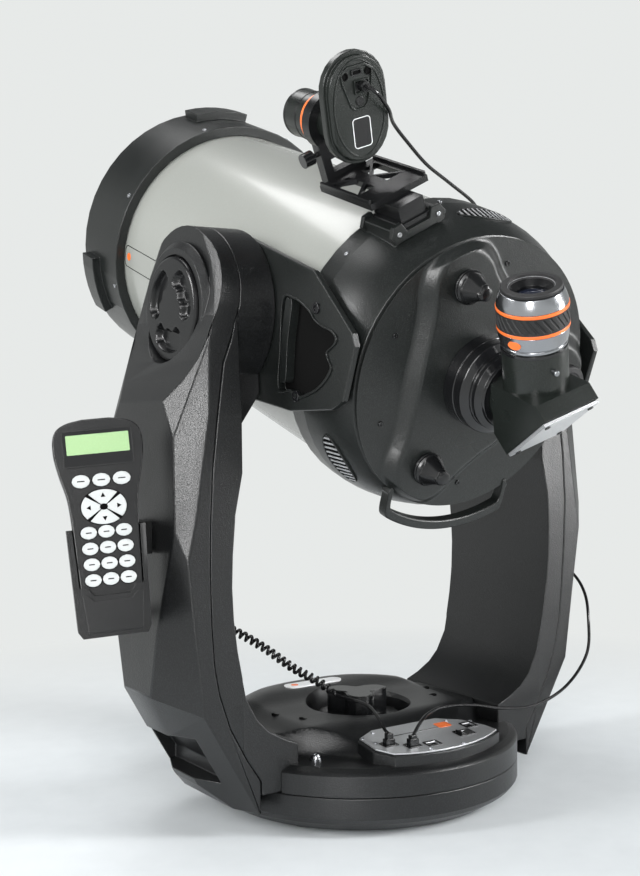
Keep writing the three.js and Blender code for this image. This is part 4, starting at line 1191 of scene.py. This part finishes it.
def turning_housing():
    """The turning half of the base: a rim, a smooth hump round the clutch's well, and a hollow under it."""
    profile = [(12, 72), (54, 72), (54, 86)]
    profile += [(radius, hump_height) for radius in range(56, 159, 2)]
    profile += [(161, 63.8), (163.5, 62.8), (165.6, 61.4), (HOUSING_REACH, 59.4),
                (HOUSING_REACH, HOUSING_FOOT), (160, HOUSING_FOOT), (160, 54), (62, 62),
                (62, HOUSING_FOOT), (12, HOUSING_FOOT)]
    bm = bmesh.new()
    bridge(bm, [ring(bm, MOUNT, radius, height, 180) for radius, height in profile], closed=True)
    for side in (-1, 1):
        inner = FOOT_INNER * side
        outer = 190 * side
        foot = [(inner, -FOOT_HALF), (outer, -FOOT_HALF), (outer, FOOT_HALF), (inner, FOOT_HALF)]
        bm = carved(bm, block(foot, 30, 120, MOUNT))
    piece("base_upper_housing_skin", bm, "fork", "mount_paint", 0.5, ("base_upper_housing",))


def panel_block():
    """The raised block under the control panel, its top sloping down to the rim."""
    outline = [(-69, -94), (-42, -78), (38, -78), (64, -97), (75, -119)]
    for i in range(11):
        angle = radians(-61 - 5.2 * i)
        outline.append((BLOCK_REACH * cos(angle), BLOCK_REACH * sin(angle)))
    outline.append((-72, -124))
    bm = block(outline, 60, 90, MOUNT)
    for vert in bm.verts:
        if vert.co.z > 80 * MM:
            vert.co.z = (BLOCK_FRONT + BLOCK_RISE * (vert.co.y / MM + 200)) * MM
    for x, y, hole, _ in PORTS:
        bm = carved(bm, block(rounded(x, y, *hole, 0.5, 2), 66, 95, MOUNT))
    piece("panel_block", bm, "fork", "mount_paint", 2.2, (), 3, True)


def panel_details():
    """Screws, port rims and blank marks on the panel, and a blank label behind the well."""
    for i, (x, y) in enumerate(PANEL_SCREWS):
        socket_screw(f"panel_screw_{i + 1}", PANEL, x, y, 0, 2.0, "fork", "steel", 0.8)
    flat(PANEL_TOP, "panel_mark", rounded(33, -100, 8, 6, 2), -0.2, 0.35, "orange_ring", 0.1)
    flat(PANEL_TOP, "panel_rule", rounded(-6, -104, 30, 0.6, 0.4, 3), -0.2, 0.3, "anodised", 0)
    for i, (x, y, _, (half_x, half_y)) in enumerate(PORTS):
        flat(PANEL_TOP, f"port_rim_{i + 1}", rounded(x, y, half_x + 1.2, half_y + 1.2, 1.2), -0.3, 0.7,
             "black_plastic", 0.2, rounded(x, y, half_x - 0.5, half_y - 0.5, 0.4))
    flat(HOUSING_TOP, "hump_label", rounded(-8, 74, 36, 9, 8.5), 96.5, 99.3, "label_white", 0.3)
    flat(HOUSING_TOP, "hump_label_mark", oval(-32, 74, 4, 4), 98.8, 99.6, "orange_ring", 0.1)


def clutch_cap():
    """A thin satin cap on the azimuth clutch knob, with a rim line."""
    for name, grow, low, high, look in (("rim", 0.6, 97.5, 98.6, "anodised"),
                                        ("cap", -2.2, 102.6, 103.6, "black_plastic")):
        outline = []
        for i in range(120):
            angle = tau * i / 120
            radius = 26 + grow + 9 * cos(3 * angle)
            outline.append((radius * cos(angle), radius * sin(angle)))
        prism(f"clutch_{name}", outline, low, high, MOUNT, "azimuth_clutch", look, 0.3)


def shaded_screw_sockets():
    """Two screw holes on each side of the hump's shoulder, each a dark disc of painted shade."""
    sunk = [(0, 0.15), (3.2, 0.15), (3.2, 0.5), (4.4, 0.4), (4.4, -2), (0, -2)]
    for i, (x, y) in enumerate(((-98, 8), (-84, -22), (98, 8), (84, -22))):
        lean = spun(10 if x < 0 else -10, "Y")
        # Each hole is a shallow disc of painted shade, not a cut.
        turned(f"screw_socket_shade_{i + 1}", sunk, Matrix.Translation((x, y, hump_height(x, y))) @ lean, "fork",
               "shade_and_print_black", 0.1, 28)


turning_housing()
panel_block()
shaded_screw_sockets()
panel_details()
clutch_cap()

# ---------------------------------------------------------------- floor and light

ROOM_SHADE = (0.80, 0.82, 0.81)
DOME_SHADE = (0.17, 0.175, 0.18)
LIT_SHARE = 0.62


def make_floor():
    """A pale floor that fades into the room's own shade away from the telescope."""
    bm = bmesh.new()
    bmesh.ops.create_circle(bm, cap_ends=True, segments=96, radius=14)
    mesh = bpy.data.meshes.new("floor")
    bm.to_mesh(mesh)
    bm.free()
    floor = bpy.data.objects.new("floor", mesh)
    bpy.context.scene.collection.objects.link(floor)
    made = bpy.data.materials.new("floor")
    made.use_nodes = True
    tree = made.node_tree
    shader = tree.nodes["Principled BSDF"]
    weave = mixed(tree, link_noise(tree, 30, 4), (0.68, 0.715, 0.735), (0.75, 0.785, 0.805))
    tree.links.new(weave, shader.inputs["Base Color"])
    shader.inputs["Roughness"].default_value = 0.85
    shader.inputs["Specular IOR Level"].default_value = 0.2
    glow = tree.nodes.new("ShaderNodeEmission")
    glow.inputs["Color"].default_value = (*ROOM_SHADE, 1)
    place = tree.nodes.new("ShaderNodeTexCoord")
    reach = tree.nodes.new("ShaderNodeVectorMath")
    reach.operation = "LENGTH"
    tree.links.new(place.outputs["Object"], reach.inputs[0])
    blend = tree.nodes.new("ShaderNodeMixShader")
    tree.links.new(spread(tree, reach.outputs["Value"], 0.34, 0.95, 0, 1), blend.inputs["Fac"])
    tree.links.new(shader.outputs["BSDF"], blend.inputs[1])
    tree.links.new(glow.outputs["Emission"], blend.inputs[2])
    tree.links.new(blend.outputs["Shader"], tree.nodes["Material Output"].inputs["Surface"])
    mesh.materials.append(made)


def make_room():
    """A pale horizon under a grey dome. It shows at full strength and lights the scene with a share."""
    world = bpy.data.worlds.new("room")
    world.use_nodes = True
    bpy.context.scene.world = world
    tree = world.node_tree
    place = tree.nodes.new("ShaderNodeTexCoord")
    split = tree.nodes.new("ShaderNodeSeparateXYZ")
    tree.links.new(place.outputs["Generated"], split.inputs["Vector"])
    dome = mixed(tree, spread(tree, split.outputs["Z"], 0.36, 0.62, 0, 1), ROOM_SHADE, DOME_SHADE)
    back = tree.nodes["Background"]
    tree.links.new(dome, back.inputs["Color"])
    ray = tree.nodes.new("ShaderNodeLightPath")
    tree.links.new(spread(tree, ray.outputs["Is Camera Ray"], 0, 1, LIT_SHARE, 1), back.inputs["Strength"])


def softbox(name, place, aim, size, power, spread_turn=180):
    """A rectangular area light aimed at a point, its beam spread in degrees."""
    data = bpy.data.lights.new(name, "AREA")
    data.spread = radians(spread_turn)
    data.shape = "RECTANGLE"
    data.size = size[0]
    data.size_y = size[1]
    data.energy = power
    light = bpy.data.objects.new(name, data)
    bpy.context.scene.collection.objects.link(light)
    light.location = place
    light.rotation_euler = (Vector(aim) - Vector(place)).to_track_quat("-Z", "Y").to_euler()


make_floor()
make_room()
softbox("left", (-2.1, 0.5, 1.25), (-0.1, 0, 0.45), (0.5, 0.9), 30)
softbox("front", (-1.15, -1.75, 1.45), (0, 0, 0.4), (1.2, 0.9), 15)
softbox("low_left", (-1.6, -1.55, 0.52), (-0.1, 0, 0.45), (0.5, 0.9), 2.8, 50)
softbox("low_right", (1.5, -1.2, 0.42), (0, 0, 0.45), (0.5, 0.6), 1.2, 50)
softbox("right", (1.35, -1.6, 1.2), (0, 0, 0.45), (0.45, 0.8), 40)
softbox("top", (-0.3, 0.5, 2.2), (0, 0, 0.4), (1.2, 1.0), 19)
bpy.context.scene.view_settings.view_transform = "Standard"
